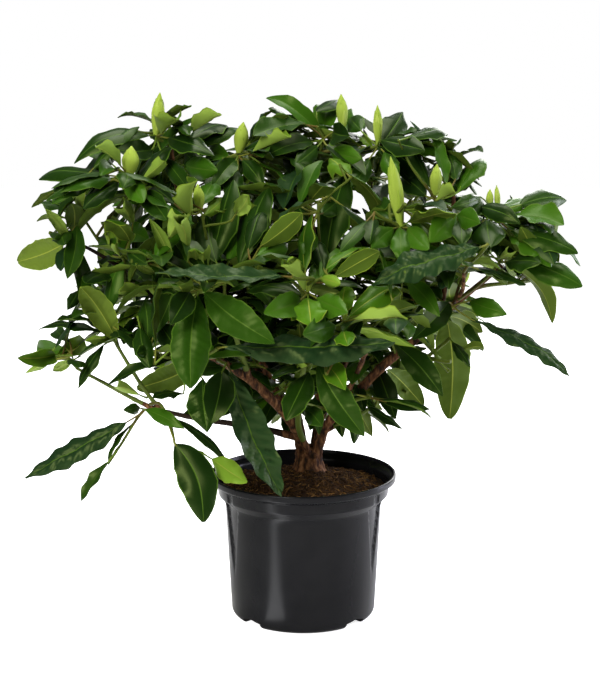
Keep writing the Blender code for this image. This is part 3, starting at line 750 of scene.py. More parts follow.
def bark_material():
    """Flaky bark: red-brown plates, darker in the sunk cracks, partly the bark's own colour and partly painted
    shade, and paler on the raised flakes, partly the bark's own colour and partly a painted highlight.
    """
    material = plain("bark", BARK_TINTS_AND_PAINTED_LIGHT[1][1], BARK_ROUGHNESS, **{"Specular IOR Level": BARK_SHINE})
    tree = material.node_tree
    flakes = patches(tree, drawn_out(tree, BARK_SCALE), 1.0, BARK_DETAIL)
    # The one pattern darkens the sunk cracks and lightens the raised flakes: painted shade and painted highlight
    # laid over the bark's own colours
    colour_by(tree, flakes, BARK_TINTS_AND_PAINTED_LIGHT)
    raise_by(tree, flakes, BARK_RELIEF)
    return material


bark_piece = bark.keep("stems_and_boughs", [bark_material(),
                                           plain("young_bark", YOUNG_BARK_TINT, YOUNG_BARK_ROUGHNESS, **DULL),
                                           plain("dark_bark", DARK_BARK_TINT, BARK_ROUGHNESS, **DULL)])
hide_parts("trunk", *BOUGHS, *LIMBS)

# Leaves
# Leathery evergreen leaves in whorls at the shoot tips: dark and glossy above, paler below, with a
# groove along the pale midrib. Young ones are bright and still curled, and last year's are quilted.
LEAF_THICKNESS = 0.7 * MM
WHORL_REACH = 46 * MM
PETIOLE_LENGTH = 17 * MM
NARROWEST, WIDEST = 11 * MM, 46 * MM
PIXEL_SIZE = 1.2 * MM
LEAF_LENGTH_SHARE = 3.3
LONGEST_LEAF = 120 * MM
TINTS = {
    "dark": ((0.0070, 0.0230, 0.0019), (0.0107, 0.0328, 0.0027), (0.0053, 0.0172, 0.0022)),
    "mid": ((0.0205, 0.0640, 0.0028), (0.0285, 0.0820, 0.0038), (0.0155, 0.0500, 0.0028)),
    "bright": ((0.0860, 0.1620, 0.0110), (0.1120, 0.1980, 0.0160), (0.0560, 0.1200, 0.0070)),
    "deep": ((0.0120, 0.0400, 0.0020), (0.0145, 0.0450, 0.0024)),
    "fresh": ((0.0380, 0.1050, 0.0036), (0.0500, 0.1260, 0.0050)),
    "soft": ((0.1020, 0.1500, 0.0180), (0.0840, 0.1260, 0.0140)),
    "old": ((0.0080, 0.0235, 0.0070), (0.0100, 0.0280, 0.0080)),
    "pale": ((0.1950, 0.2850, 0.0440), (0.1560, 0.2400, 0.0320)),
    "olive": ((0.0500, 0.0830, 0.0090), (0.0660, 0.1020, 0.0120)),
    "rib": ((0.0400, 0.0850, 0.0080), (0.1700, 0.2100, 0.0260), (0.1850, 0.2200, 0.0280),
            (0.2700, 0.3200, 0.0560)),
    "edge": ((0.0460, 0.0960, 0.0080), (0.1394, 0.2050, 0.0168)),
    "bud": ((0.2300, 0.3100, 0.0400), (0.2900, 0.3700, 0.0640), (0.1900, 0.2700, 0.0300)),
    "petiole": ((0.0943, 0.1476, 0.0156), (0.1230, 0.1312, 0.0204), (0.0820, 0.0590, 0.0132)),
}
GLOSS = {"dark": 0.34, "mid": 0.34, "deep": 0.38, "bright": 0.40, "fresh": 0.36, "soft": 0.55, "old": 0.37,
         "pale": 0.55, "olive": 0.55, "rib": 0.45, "edge": 0.45, "bud": 0.45, "petiole": 0.45}
LEAF_SHEEN = {"Specular IOR Level": 0.15, "Specular Tint": (0.80, 1.0, 0.32, 1.0)}
# What shows of a leaf, as its upper face and its underside
FACES = {"dark": ("dark", "olive"), "mid": ("mid", "olive"), "bright": ("bright", "pale"),
         "old": ("old", "olive"), "pale": ("bright", "pale"), "fresh": ("fresh", "olive"),
         "deep": ("deep", "olive"), "soft": ("fresh", "soft"), "olive": ("mid", "olive"), "bud": ("bud", "bud")}
DEEP_KINDS = ("dark", "old", "mid", "deep")
YOUNG_KINDS = ("pale", "bright")
TENDER_KINDS = ("pale", "bright", "fresh", "soft")
# The rib's shades: 0 above a deep blade, 1 above a bright one, and these two below
UNDER_RIB, PALE_UNDER_RIB = 2, 3
# How many rows of faces a blade has along it, and where its lanes lie across it
FORMS = {
    "ordinary": (8, (-1.0, -0.5, -0.045, 0.045, 0.5, 1.0)),
    "fine": (14, (-1.0, -0.93, -0.62, -0.28, -0.035, 0.035, 0.28, 0.62, 0.93, 1.0)),
    "quilted": (56, (-1.0, -0.95, -0.8, -0.6, -0.4, -0.2, -0.035, 0.035, 0.2, 0.4, 0.6, 0.8, 0.95, 1.0)),
}
# Rows stand closer at both ends. The rib is the lane within the first share, the edge beyond the second
END_CROWDING = 0.4
RIB_LANE, EDGE_LANE = 0.08, 0.9
SPINE_STEP = 0.02
CURL_START = 0.6
TWIST_CENTRE = 0.4
LEAST_OUTLINE = 0.02
# An uneven edge: reach, waves along the blade, and their shift by its length or width and by its side
EDGE_WAVES = ((0.03, 23, 900, 2), (0.025, 41, 700, -3))
# A wavy margin: power across, waves along, shift of the other side, shift by length
MARGIN_POWER, MARGIN_WAVES, MARGIN_SIDE, MARGIN_SPREAD = 2.2, 15.0, 1.9, 40
# The groove above the midrib, as a share of the width, and the rib below it: size and reach across
GROOVE_DEPTH, GROOVE_REACH = 0.05, 0.16
RIB_HEIGHT, RIB_REACH = 0.9 * MM, 0.1
EDGE_THINS = 0.55
# Puckers between the veins of a quilted blade, and the slower bends of its rib and of its edge
QUILTS = 12
VEIN_SLANT = 1.4
PUFF_POWER, PUFF_LEVEL = 0.6, 0.6
PUFF_AT_RIB = 0.3
PUFF_FADE = 0.4
RIB_BEND, RIB_BENDS, RIB_BEND_REACH = 0.35, 3.3, 0.3
EDGE_BEND, EDGE_BENDS, EDGE_BEND_SHIFT = 0.6, 5.3, 2
GOLDEN_STEP = 2.39996

# Each whorl: where its shoot ends, as a pixel and a depth in mm, and the leaves that the photo shows on it.
# A leaf is its blade's base and tip, its seen width in pixels, how far its upper face turns to the camera,
# and its colour.
WHORLS = {
    "far_left": ((68, 238, -30), (
        (63.6, 244, 18, 261.5, 32, -1.0, "soft", "vein"), (67.6, 236, 45, 209, 13, -0.8, "bright"),
        (77, 225, 67.6, 277.5, 18, 0.9, "dark"))),
    "far_left_upper": ((80, 215, -20), (
        (82, 214.5, 90, 177, 10, -0.4, "pale"), (84, 213, 95.7, 193, 9, -0.5, "pale"),
        (73, 214.5, 37.5, 201, 8, 0.3, "dark"), (74, 212, 51.5, 196.5, 5, 0.2, "dark"))),
    "bud2": ((129, 176, -50), (
        (110.4, 175.7, 35.4, 170.4, 14, 0.5, "dark"), (129, 173, 125, 184, 19, 0.8, "dark"),
        (121, 166, 95.7, 145, 11, -0.5, "bright"), (138, 182, 173, 143, 10, 0.4, "dark"),
        (141, 182, 165, 160, 10, -0.6, "pale"), (126, 176, 142.6, 201, 15, 0.7, "mid"),
        (112, 178, 62, 186, 12, 0.5, "mid"), (118, 182, 84, 205, 12, 0.5, "dark"))),
    "bud1": ((156, 135.5, 20), (
        (149, 135.5, 74, 159.6, 17, 0.6, "dark", "bow"), (144, 173, 197.5, 111.4, 9, 0.4, "dark"),
        (161, 134, 178.7, 117.5, 10, -0.3, "bright"), (168, 138, 212, 150, 14, 0.5, "dark"),
        (164, 158, 188, 189, 16, 0.8, "dark"), (184, 165, 212, 170, 17, 0.6, "mid"),
        (152, 150, 118, 150, 14, 0.6, "dark"))),
    "top_left_back": ((188, 150, 40), (
        (189.5, 134, 221, 113, 11, -0.4, "bright"), (192, 138, 226.7, 123, 12, 0.4, "dark"),
        (190, 150, 243, 124, 15, 0.5, "dark"), (185, 152, 205, 182, 15, 0.7, "dark"),
        (182, 145, 150, 128, 12, 0.5, "dark"))),
    "bud9": ((200, 212, -80), (
        (191, 214.5, 195, 179, 13, -0.4, "bright"), (200, 205, 214, 178, 12, 0.5, "mid"),
        (192, 214, 168, 196, 12, 0.6, "mid"), (205, 215, 226, 196, 13, 0.6, "bright"))),
    "left_middle": ((123, 256, -50), (
        (109, 254.7, 102.4, 220, 12, 0.6, "bright"), (130.5, 241, 107, 216, 12, -0.4, "olive"),
        (133, 224, 121, 204, 15, -0.6, "pale"), (142.6, 193, 166.7, 220, 16, 0.7, "dark"),
        (126.5, 249, 145, 262.8, 15, 0.8, "dark"), (122.5, 258.7, 99.7, 257.4, 5, 0.2, "dark"),
        (121, 257, 114.5, 244, 8, -0.8, "pale"), (113, 256, 103.7, 233, 12, 0.6, "mid"),
        (154.6, 273.5, 134.5, 262.8, 9, -0.7, "pale"), (150, 240, 128, 226, 14, 0.6, "mid"),
        (140, 250, 160, 232, 13, 0.6, "dark"))),
    "left_middle_low": ((126, 281, -30), (
        (111.8, 272, 86.3, 281.5, 8, 0.3, "dark"), (121, 289.5, 102.4, 285.5, 5, 0.2, "dark"),
        (150.6, 288, 129, 266.8, 15, 0.5, "dark"), (161, 301.6, 152, 285.5, 10, -0.7, "pale"),
        (148, 295, 118.5, 291, 9, -0.5, "bright"), (134, 288, 158, 276, 12, 0.6, "mid"))),
    "young_cluster": ((190, 275, -120), (
        (173, 269.5, 149, 218.6, 14, -0.8, "pale"), (168, 240, 178.7, 213, 15, -0.6, "bright"),
        (181, 269.5, 176, 236, 18, 0.7, "mid"), (188, 249.4, 180, 221, 14, -0.5, "bright"),
        (196, 269.5, 193.5, 244, 13, -0.6, "pale"), (207, 269.5, 201.5, 249, 12, -0.6, "pale"),
        (186, 262, 162, 244, 14, 0.6, "mid"))),
    "left_upright": ((224, 276, -95), (
        (210, 267, 231, 178, 30, 0.75, "dark"), (239, 267, 268, 184, 29, 0.75, "dark"),
        (236, 214, 250, 193, 14, -0.6, "pale"), (216, 262, 206, 214, 24, 0.75, "dark"),
        (228, 262, 246, 218, 20, 0.7, "mid"))),
    "centre_left_pale": ((252, 262, -110), (
        (260, 247, 303, 212, 18, -0.8, "olive"), (256, 256, 290, 240, 14, 0.6, "mid"),
        (248, 250, 262, 206, 18, 0.7, "dark"))),
    "bud3": ((238, 156, 30), (
        (233.7, 182.6, 252, 144.7, 15, 0.6, "dark"), (253, 152, 291, 136, 10, -0.4, "bright"),
        (236, 160, 214, 186, 14, 0.7, "dark"), (242, 160, 262, 184, 15, 0.7, "dark"),
        (230, 158, 206, 150, 12, 0.5, "mid"), (238, 170, 230, 202, 17, 0.8, "dark"))),
    "top_middle": ((323.5, 139, 50), (
        (322, 137.7, 268.8, 94.2, 17, 0.8, "mid", "bow"), (305, 123.7, 254, 135, 15, 0.5, "dark"),
        (325, 132, 327.7, 105.4, 20, 0.7, "mid"), (316, 112, 339, 100, 8, 0.3, "dark"),
        (333, 132, 348.7, 136, 21, 0.8, "dark"), (326, 145, 365.6, 174, 13, 0.5, "dark"),
        (330, 150, 358, 158, 14, 0.6, "mid"), (318, 146, 296, 164, 15, 0.7, "dark"),
        (312, 142, 270, 152, 14, 0.6, "dark"), (338, 128, 362, 118, 14, 0.5, "mid"))),
    "centre_top": ((318, 212, -60), (
        (299.6, 205, 320.7, 157.3, 15, 0.7, "mid"), (284, 209, 300, 167, 15, 0.5, "old"),
        (346, 172.8, 329, 157.3, 12, 0.4, "bright"), (326, 265, 346, 172.8, 34, 0.8, "dark"),
        (347, 172.8, 386.6, 219, 11, -0.4, "mid"), (308, 222, 290, 190, 18, 0.7, "dark"),
        (322, 214, 342, 196, 16, 0.7, "dark"), (312, 228, 304, 252, 14, 0.7, "mid"))),
    "bud5": ((378, 146, 30), (
        (376, 146, 430, 202, 16, 0.7, "dark"), (374, 150, 360, 133, 8, 0.5, "bright"),
        (381, 145.4, 403.5, 111, 27, 0.8, "dark"), (361, 130.7, 349, 117, 14, 0.6, "dark"),
        (370, 158, 352, 186, 16, 0.8, "dark"), (384, 152, 396, 178, 15, 0.7, "mid"),
        (380, 140, 424, 150, 16, 0.6, "dark"))),
    "bud7": ((436, 199, -20), (
        (430.5, 188, 402, 135.6, 13, 0.6, "dark"), (446, 184, 432, 132, 11, 0.6, "mid"),
        (455.8, 179.8, 441.7, 142, 14, 0.6, "dark"), (408, 137.7, 448.8, 127, 9, 0.35, "dark"),
        (413.7, 150, 450, 146, 15, 0.5, "mid"), (458.6, 192.4, 483, 154.5, 17, 0.5, "mid"),
        (436, 201, 457, 191, 10, -0.4, "bright"), (440, 196, 470, 178, 15, 0.6, "dark"),
        (426, 196, 398, 176, 15, 0.6, "dark"))),
    "bud8": ((493, 212, -20), (
        (478, 206.5, 517.5, 220.5, 15, 0.7, "dark"), (499, 210.7, 533, 198, 12, 0.35, "mid"),
        (520, 205, 568, 198.7, 17, 0.6, "dark"), (481, 196.6, 454, 206.5, 13, 0.7, "dark"),
        (486.6, 219, 490.8, 247, 34, 0.85, "dark"), (514.7, 216, 563.8, 224.7, 17, 0.5, "mid"),
        (510.5, 230, 577.8, 250, 20, 0.7, "dark"), (509, 236, 552.6, 261, 13, 0.4, "mid"),
        (482, 222, 452, 226, 15, 0.6, "dark"), (518, 258, 582, 283.6, 25, 0.8, "mid"))),
    "right_node": ((501, 260, -30), (
        (510.5, 266.8, 554, 320, 13, -0.6, "olive", "bow"), (506, 258, 514, 282, 15, -0.8, "pale"),
        (499, 258, 510, 251, 8, -0.5, "pale"), (482, 254, 496, 275, 10, -0.6, "pale"),
        (498, 256, 520, 236, 13, 0.5, "dark"), (506, 262, 540, 262, 14, 0.5, "dark"))),
    "bud6": ((401, 228, -80), (
        (408, 222, 455.8, 209, 13, -0.4, "olive"), (399.6, 227.5, 401, 258, 18, 0.8, "mid"),
        (408, 227.5, 427.7, 248.6, 15, 0.7, "mid"), (394, 228, 374, 246, 14, 0.6, "mid"),
        (396, 222, 378, 204, 14, 0.6, "dark"))),
    "right_front_shoot": ((458, 214, -75), (
        (456.5, 215, 433, 238.7, 18, 0.7, "mid"), (456.5, 215, 477, 222, 18, 0.8, "mid"),
        (446, 238, 434, 246, 9, -0.6, "pale"), (460, 218, 462, 244, 15, 0.7, "dark"),
        (462, 212, 484, 196, 14, 0.6, "dark"))),
    "front_right": ((488, 244, -140), ((481, 247, 371, 278, 28, 0.8, "old", "quilt"),)),
    "front_left": ((292, 277, -190), ((284, 276, 155, 271.5, 15, 0.65, "old", "quilt"),)),
    "front_centre": ((218, 348, -165), ((225, 346.8, 395, 342.6, 31, 0.85, "old", "quilt"),)),
    "centre": ((308, 292, -140), (
        (308, 298, 311, 325, 40, 0.9, "fresh"), (311, 288, 344.5, 296, 13, -0.7, "pale"),
        (305, 292, 281.4, 264, 9, -0.4, "pale"), (303.8, 271, 284, 257, 10, -0.7, "pale"),
        (303.8, 295, 245, 285.8, 13, 0.55, "dark"), (305, 271, 308, 213, 14, 0.5, "olive"),
        (312, 284, 326, 262, 13, 0.6, "mid"), (300, 300, 268, 312, 18, 0.7, "mid"),
        (316, 298, 346, 312, 18, 0.7, "mid"))),
    "centre_right": ((344.5, 321.5, -150), (
        (351.5, 326.5, 415.4, 344, 12, -0.6, "pale"), (351.5, 320, 409, 315, 10, -0.5, "pale"),
        (348.7, 317, 402, 282, 21, 0.7, "fresh"), (343, 314.5, 346, 285, 15, 0.6, "fresh"),
        (344, 330, 347, 342, 18, 0.8, "fresh"), (336, 326, 306, 334, 18, 0.7, "mid"),
        (338, 318, 312, 306, 14, 0.6, "dark"))),
    "centre_right_upper": ((330, 276, -120), (
        (334.7, 276.6, 383.8, 248.6, 16, -0.8, "olive"), (326, 269.6, 369.8, 244.3, 13, 0.6, "fresh"),
        (320, 279, 340, 284, 12, 0.7, "bright"), (324, 270, 316, 236, 15, 0.7, "dark"))),
    "left_front_drop": ((198, 291, -150), (
        (197.5, 296, 190.8, 388, 38, 0.95, "deep", "ripple"),
        (204, 292, 270, 340, 30, 0.9, "deep", "ripple"),
        (195, 293, 177.4, 297.6, 8, -0.6, "pale"), (190, 292, 172, 322, 20, 0.8, "dark"))),
    "rim_drop": ((226, 364, -108), (
        (230, 371, 283.7, 496.7, 35, 0.95, "old", "quilt"), (222, 372, 212, 420, 28, 0.9, "dark"))),
    "centre_drop": ((314, 356, -120), (
        (317, 364, 362.7, 433.7, 28, 0.95, "dark", "ripple"), (328, 365.5, 344, 388, 20, 0.9, "fresh"),
        (309, 372, 286, 419, 20, 0.7, "dark"), (285, 362, 304, 356.6, 8, -0.4, "bright"),
        (303, 408, 320, 424, 14, 0.7, "dark"))),
    "low_right_inner": ((362, 390, 10), (
        (350.6, 404, 372, 436.4, 16, -0.9, "olive"), (358.6, 385.5, 364, 409, 9, 0.6, "dark"),
        (366.7, 405.6, 402.8, 427, 11, 0.8, "dark"), (369, 389.5, 388, 398, 7, 0.6, "dark"),
        (358, 374, 378, 388, 13, -0.7, "olive"), (388, 369.4, 419.3, 401.7, 24, -0.9, "olive", "vein"),
        (352, 400, 357, 441, 12, 0.6, "dark"))),
    "right_small": ((450, 338, -45), ((462, 350, 486, 347, 6, -0.6,
                    "olive"), (452, 342, 470, 366, 9, 0.7, "dark"))),
    "behind_stems": ((285, 384, 90), (
        (280, 388, 262, 424, 16, 0.8, "dark"), (288, 390, 288, 436, 17, 0.8, "dark"),
        (298, 386, 318, 424, 17, 0.8, "dark"),
        (272, 380, 240, 398, 15, 0.7, "dark"), (294, 374, 326, 380, 14, 0.6, "mid"),
        (276, 374, 256, 350, 15, 0.6, "dark"),
        (284, 372, 290, 338, 15, 0.6, "dark"))),
    "behind_stems_right": ((333, 384, 70), (
        (326, 390, 310, 430, 16, 0.8, "dark"), (335, 392, 342, 434, 16, 0.8, "dark"),
        (342, 386, 374, 404, 13, 0.7, "dark"),
        (328, 378, 300, 392, 14, 0.7, "dark"), (338, 376, 360, 350, 14, 0.6, "mid"),
        (332, 372, 322, 340, 14, 0.6, "dark"))),
    "behind_left": ((238, 372, 50), (
        (232, 376, 210, 402, 16, 0.8, "dark"), (240, 378, 246, 416, 16, 0.8, "dark"),
        (246, 372, 272, 388, 14, 0.7, "dark"),
        (230, 368, 196, 366, 14, 0.6, "dark"), (236, 360, 222, 326, 15, 0.6, "dark"))),
    "low_left": ((116, 340, -60), (
        (115.8, 339, 78.3, 284, 26, -0.95, "soft", "vein"), (115.8, 333.7, 91.7, 281.5, 15, 0.6, "olive"),
        (103.7, 332.4, 38.8, 323, 8, 0.5, "dark"), (113, 340, 83.7, 339, 7, -0.5, "pale"),
        (117, 336.4, 144, 305.6, 9, 0.6, "bright"), (103.7, 344.5, 77, 387.3, 12, 0.7, "dark"),
        (79.6, 290, 67.6, 309.6, 8, 0.6, "dark"))),
    "low_left_tip": ((71.6, 355, -60), (
        (54.9, 355, 18.7, 357.9, 23, 0.85, "bright"), (44, 362, 26, 372.6, 9, -0.7, "pale"),
        (54, 360, 86, 340, 20, 0.8, "bright"), (70, 342, 55, 328, 11, 0.7, "dark"),
        (73, 360.5, 53.5, 370.6, 12, -0.8, "pale"), (68, 350, 34, 346, 15, 0.7, "mid"))),
    "left_inner": ((180, 362, -80), (
        (194.8, 364.6, 140.6, 387, 26, -0.95, "olive", "vein"), (185.4, 358, 106.4, 384.6, 9, 0.5, "dark"),
        (140, 395, 115.8, 386, 12, -0.6, "pale"), (140, 327, 149, 364.5, 17, 0.8, "dark"),
        (150, 350, 137, 354, 9, 0.6, "dark"), (202.8, 378, 206.9, 429.6, 32, 0.95, "dark", "ripple"),
        (184, 394, 153, 397, 5, 0.3, "dark"), (178, 352, 158, 322, 18, 0.7, "dark"),
        (186, 350, 214, 330, 18, 0.7, "dark"))),
    "low_tip": ((145, 409.5, -90), (
        (127.9, 421.5, 23.4, 476.8, 23, 0.85, "old", "quilt"), (132, 424, 106, 466, 5, 0.5, "dark"),
        (108, 462, 81, 501, 11, 0.7, "dark"),
        (145, 409.5, 182.8, 428, 12, 0.8, "mid"), (176, 419, 228, 462, 9, 0.6, "dark"),
        (212, 459, 245, 481, 21, 0.9, "bright"),
        (140, 408, 126.5, 409.5, 7, 0.6, "dark"))),
    "hanging": ((165, 412, -108), ((175.4, 444.3, 203.5, 520.6, 40, 0.95, "dark", "sway"),)),
    "right_centre_node": ((453, 306, -55), (
        (447.4, 320.3, 449.5, 413.6, 40, -0.95, "olive", "vein"),
        (394, 342.8, 441.7, 394.7, 24, 0.9, "dark", "ripple"),
        (471, 319, 573.6, 370, 15, 0.7, "old", "quilt"), (450, 316, 478, 330, 18, -0.7, "olive"),
        (469.8, 300.7, 503.5, 312, 15, 0.7, "mid"),
        (448.8, 302, 413.7, 338.6, 20, 0.8, "dark"), (408, 281, 438, 314.7, 18, 0.9, "mid"),
        (396, 308, 384, 290, 16, -0.7, "olive"), (440, 300, 420, 282, 14, 0.6, "dark"))),
}
# How many more leaves the shoot rule adds behind each of those whorls
BACK_LEAVES = 5
# Whorls that only the shoot rule makes, in each mass of leaves
RULE_WHORLS = {"leaves_right_tail": 0, "leaves_back_low": 12, "leaves_back_left_foot": 10,
               "leaves_right_inner": 7,
               "leaves_front_inner": 5, "leaves_left_inner": 5, "leaves_back": 8, "leaves_crown": 14,
               "leaves_": 4}
REAR_MASSES = ("leaves_back", "leaves_right_inner")
REAR_KINDS = ("dark", "dark", "dark", "mid", "mid", "mid", "old", "bright")
INNER_KINDS = ("dark", "dark", "dark", "mid", "old")
# Dark inner shoots that close the crown behind the stems, each a pixel and a depth in mm
SHADE_SEATS = ((258, 392, 62), (300, 402, 84), (330, 396, 66), (352, 376, 62), (240, 352, 45),
               (270, 350, 66), (302, 356, 70), (322, 350, 66), (210, 342, 36), (372, 356, 30),
               (286, 372, 100), (345, 340, 40), (180, 300, 20), (226, 318, 30), (168, 320, 12),
               (205, 324, 25), (250, 300, 10), (272, 298, 20), (268, 192, 30), (290, 322, 40),
               (300, 286, 40), (240, 272, 0), (150, 305, 10), (420, 300, 30), (400, 330, 30),
               (245, 290, 45), (360, 282, 50), (338, 318, 60), (256, 364, -12), (284, 388, -8))
# Open spots where the sky shows through the crown: pixel and radius
SKY = ((295, 265, 5), (415, 225, 8), (355, 203, 9), (130, 372, 22), (108, 312, 12), (120, 365, 20),
       (482, 285, 12), (530, 345, 10), (280, 450, 5), (150, 345, 8), (540, 300, 14), (60, 395, 30),
       (395, 395, 6), (100, 245, 8), (92, 232, 9), (95, 262, 11), (60, 295, 20), (45, 285, 15),
       (505, 178, 14), (522, 176, 14), (560, 340, 20), (590, 320, 20))
BUD_ROOM = 9
LEAF_ROOM = 6 * MM
SKY_MARGIN = 10 * MM
LEAST_TURN = 0.2
# The leaf stalk: its two bends as shares of the way, how it hangs, and its radii in mm
PETIOLE_STEPS, PETIOLE_SIDES = 5, 6
PETIOLE_BENDS = (0.6, 0.35)
PETIOLE_DROOP = (0.16, -0.04)
PETIOLE_END = 6 * MM
PETIOLE_RADII = (1.6, 1.15, 1.05, 1.0, 0.5)
RED_PETIOLE = 2
RED_PETIOLE_CHANCE = 0.25
# A shoot leans out from a point a little behind the pot's axis, by this much at most
SHOOT_CENTRE_Y = 0.03
SHOOT_LEAN, LEAN_BY_REACH = 0.6, 3
# Leaves by the shoot rule: lengths and gaps in mm, widths as shares of the length
WHORL_GUIDE = (0.37, 0.61, 0.12)
RULE_LIFT = (-0.45, 0.75)
RULE_LENGTHS, RULE_GAPS = (62, 98), (12, 20)
RULE_WIDTHS = (0.27, 0.36)
RULE_TRIES, RULE_SHORTER = 3, 0.8
SHORTEST_LEAF = 38 * MM
TRIED_SPOTS = (0.55, 0.25)
FRONT_MARGIN, REAR_MARGIN = 7 * MM, 11 * MM
REAR_Y = 0.08
BEHIND = 0.15
RULE_DROOP, RULE_ROLL = -0.2, (-0.4, 0.4)
# How a leaf by the rule is bent. A pair is a range to draw from, a list is a choice
RULE_BENDS = {"bow": (0.02, 0.10), "cup": [-0.9, -0.5, 0.5, 0.8], "twist": (-0.5, 0.5), "curl": (0.0, 0.10),
              "sway": (-0.05, 0.05), "wave": (0.05, 0.20), "full": (0.55, 0.75), "widest": (0.95, 1.2)}
# How a seen leaf leans in depth: at most, by chance, at its base, at its tip, and a quilted one
MOST_LEAN, LEAN_CHANCE = 48 * MM, (0, 10)
BASE_LEAN, TIP_LEAN = 0.22, 1.15
BASE_CHANCE = (-6, 6)
QUILTED_LEAN = -12 * MM
# How a seen leaf is bent, by its manner or by chance, for older leaves and for young ones
MANNER_BOWS, SEEN_BOWS = {"bow": 0.16, "quilt": 0.01}, (0.03, 0.09)
MANNER_RELIEFS = {"quilt": 0.12, "ripple": 0.030, "vein": 0.040}
MANNER_FULLS, SEEN_FULLS = {"quilt": 0.8, "sway": 0.6, "vein": 0.52}, (0.58, 0.92)
OLDER_TWISTS, YOUNG_TWISTS = (-0.35, 0.35), (-0.9, 0.9)
OLDER_CUPS, YOUNG_CUPS = (-0.6, 0.45, 0.6, 0.85), (-2.0, -1.6, -1.2, 1.4)
OLDER_WAVES, YOUNG_WAVES = (0.06, 0.22), (0.15, 0.40)
FLAT_FACING, FLAT_CUPS = 0.85, (-0.4, 0.5)
SEEN_CURLS, SEEN_SWAYS, SEEN_WIDEST = (0.0, 0.12), (-0.04, 0.04), (0.95, 1.2)
HANGING_SWAY = 0.10
VEINED_WAVE = 0.3
# The side shoot of a leaf that stands far from its whorl: how it heads along the leaf, up and outwards
LEAD_AHEAD, LEAD_UP, LEAD_OUT = 0.5, 0.3, 0.6
SHOOT_R, SHADE_SHOOT_R, SIDE_SHOOT_R = 2.0 * MM, 1.8 * MM, 1.2 * MM
BACK_SHIFT = Vector((0.0, 8 * MM, -4 * MM))
BACK_KINDS = ("dark", "dark", "mid")
# Whorls with more seen leaves than this also get leaves behind
FULL_WHORL = 2
SHADE_KINDS, SHADE_LEAVES = ("dark", "dark", "dark", "mid"), 9
# Shoots inside a mass: their angles and heights, and how far out they stand in a large or a small mass
MASS_STEP, MASS_START = 2.4, 0.7
MASS_LIFT = (-0.5, 0.7)
LARGE_MASS_SHARE, SMALL_MASS_SHARE = 0.5, 0.3
# A small mass has this many shoots, which stand back by a share of its depth
SMALL_MASS = 4
SMALL_MASS_BACK = 0.3
MASS_LEAN = 0.4
MASS_LEAVES = (7, 9)
REAR_BUD_Y, REAR_BUD_CHANCE = 0.1, 0.4
REAR_BUD = (26 * MM, 5 * MM)
SEEN_BUDS = {
    "bud1": ((156, 135, 20), (160, 92.5, 20), 14), "bud2": ((129.5, 175, -52), (131.5, 146, -54), 18),
    "bud3": ((239, 153, 30), (243.5, 122, 30), 16), "bud4": ((343, 128, 50), (341, 94, 50), 13),
    "bud5": ((378, 144, 30), (377.5, 105, 30), 10), "bud6": ((401, 226, -80), (390.5, 156.5, -84), 14),
    "bud7": ((434.7, 195, -20), (437, 164, -20), 13), "bud8": ((489.4, 209, -22), (490, 189, -22), 8),
    "bud8_small": ((498, 211, -20), (496.5, 185, -20), 6), "bud9": ((200, 210, -82), (197.5, 184, -84), 12),
    "centre": ((308, 292, -142), (309, 276, -143), 7),
               "centre_right": ((344, 320, -152), (345, 306, -153), 7),
}
growth = random.Random(5)


def leaf_blank(along, lanes):
    """A closed slab in unit measure: share along in x and across in y, and its two faces at 0 and 1 in z."""
    bm = bmesh.new()
    across = len(lanes) - 1
    bmesh.ops.create_grid(bm, x_segments=along, y_segments=across, size=0.5)
    raised = bmesh.ops.extrude_face_region(bm, geom=bm.faces[:])
    bmesh.ops.translate(bm, verts=[item for item in raised["geom"] if isinstance(item, bmesh.types.BMVert)],
                        vec=UP)
    for vert in bm.verts:
        share = vert.co.x + 0.5
        eased = 0.5 - 0.5 * math.cos(math.pi * share)
        vert.co.x = (1 - END_CROWDING) * share + END_CROWDING * eased
        vert.co.y = lanes[round((vert.co.y + 0.5) * across)]
    points, faces = blank_of(bm)
    lift = points[faces[4]][:, :, 2]
    off_rib = np.abs(points[faces[4]][:, :, 1])
    lane = np.where(off_rib.max(axis=1) < RIB_LANE, 1, np.where(off_rib.min(axis=1) > EDGE_LANE, 2, 0))
    side = np.where(lift.min(axis=1) > 0.5, 0, np.where(lift.max(axis=1) < 0.5, 1, 2))
    return points, faces, side, lane


BLANKS = {form: leaf_blank(along, lanes) for form, (along, lanes) in FORMS.items()}
SLOT_OF, leaf_materials = {}, []
for tint_name, shades in TINTS.items():
    for index, shade in enumerate(shades):
        SLOT_OF[tint_name, index] = len(leaf_materials)
        leaf_materials.append(plain("%s_%d" % (tint_name, index), shade, GLOSS[tint_name], **LEAF_SHEEN))


def across_to(direction, wanted):
    """The part of wanted that stands square to direction."""
    return (wanted - direction * wanted.dot(direction)).normalized()


def quilting(u, v, width, relief):
    """The puckers between a quilted blade's veins, with the slower bends of its rib and edge."""
    vein = np.abs(np.sin(math.pi * (QUILTS * u - VEIN_SLANT * np.abs(v))))
    across = PUFF_AT_RIB + (1 - PUFF_AT_RIB) * np.sin(math.pi * np.minimum(1.0, np.abs(v)))
    puff = relief * width * (vein ** PUFF_POWER - PUFF_LEVEL) * across * np.sin(math.pi * u) ** PUFF_FADE
    rib = RIB_BEND * relief * width * np.sin(math.tau * RIB_BENDS * u) * np.exp(-(v / RIB_BEND_REACH) ** 2)
    shift = EDGE_BEND_SHIFT * np.sign(v)
    edge = EDGE_BEND * relief * width * np.sin(math.tau * EDGE_BENDS * u + shift) * np.abs(v) ** 2
    return puff + rib + edge


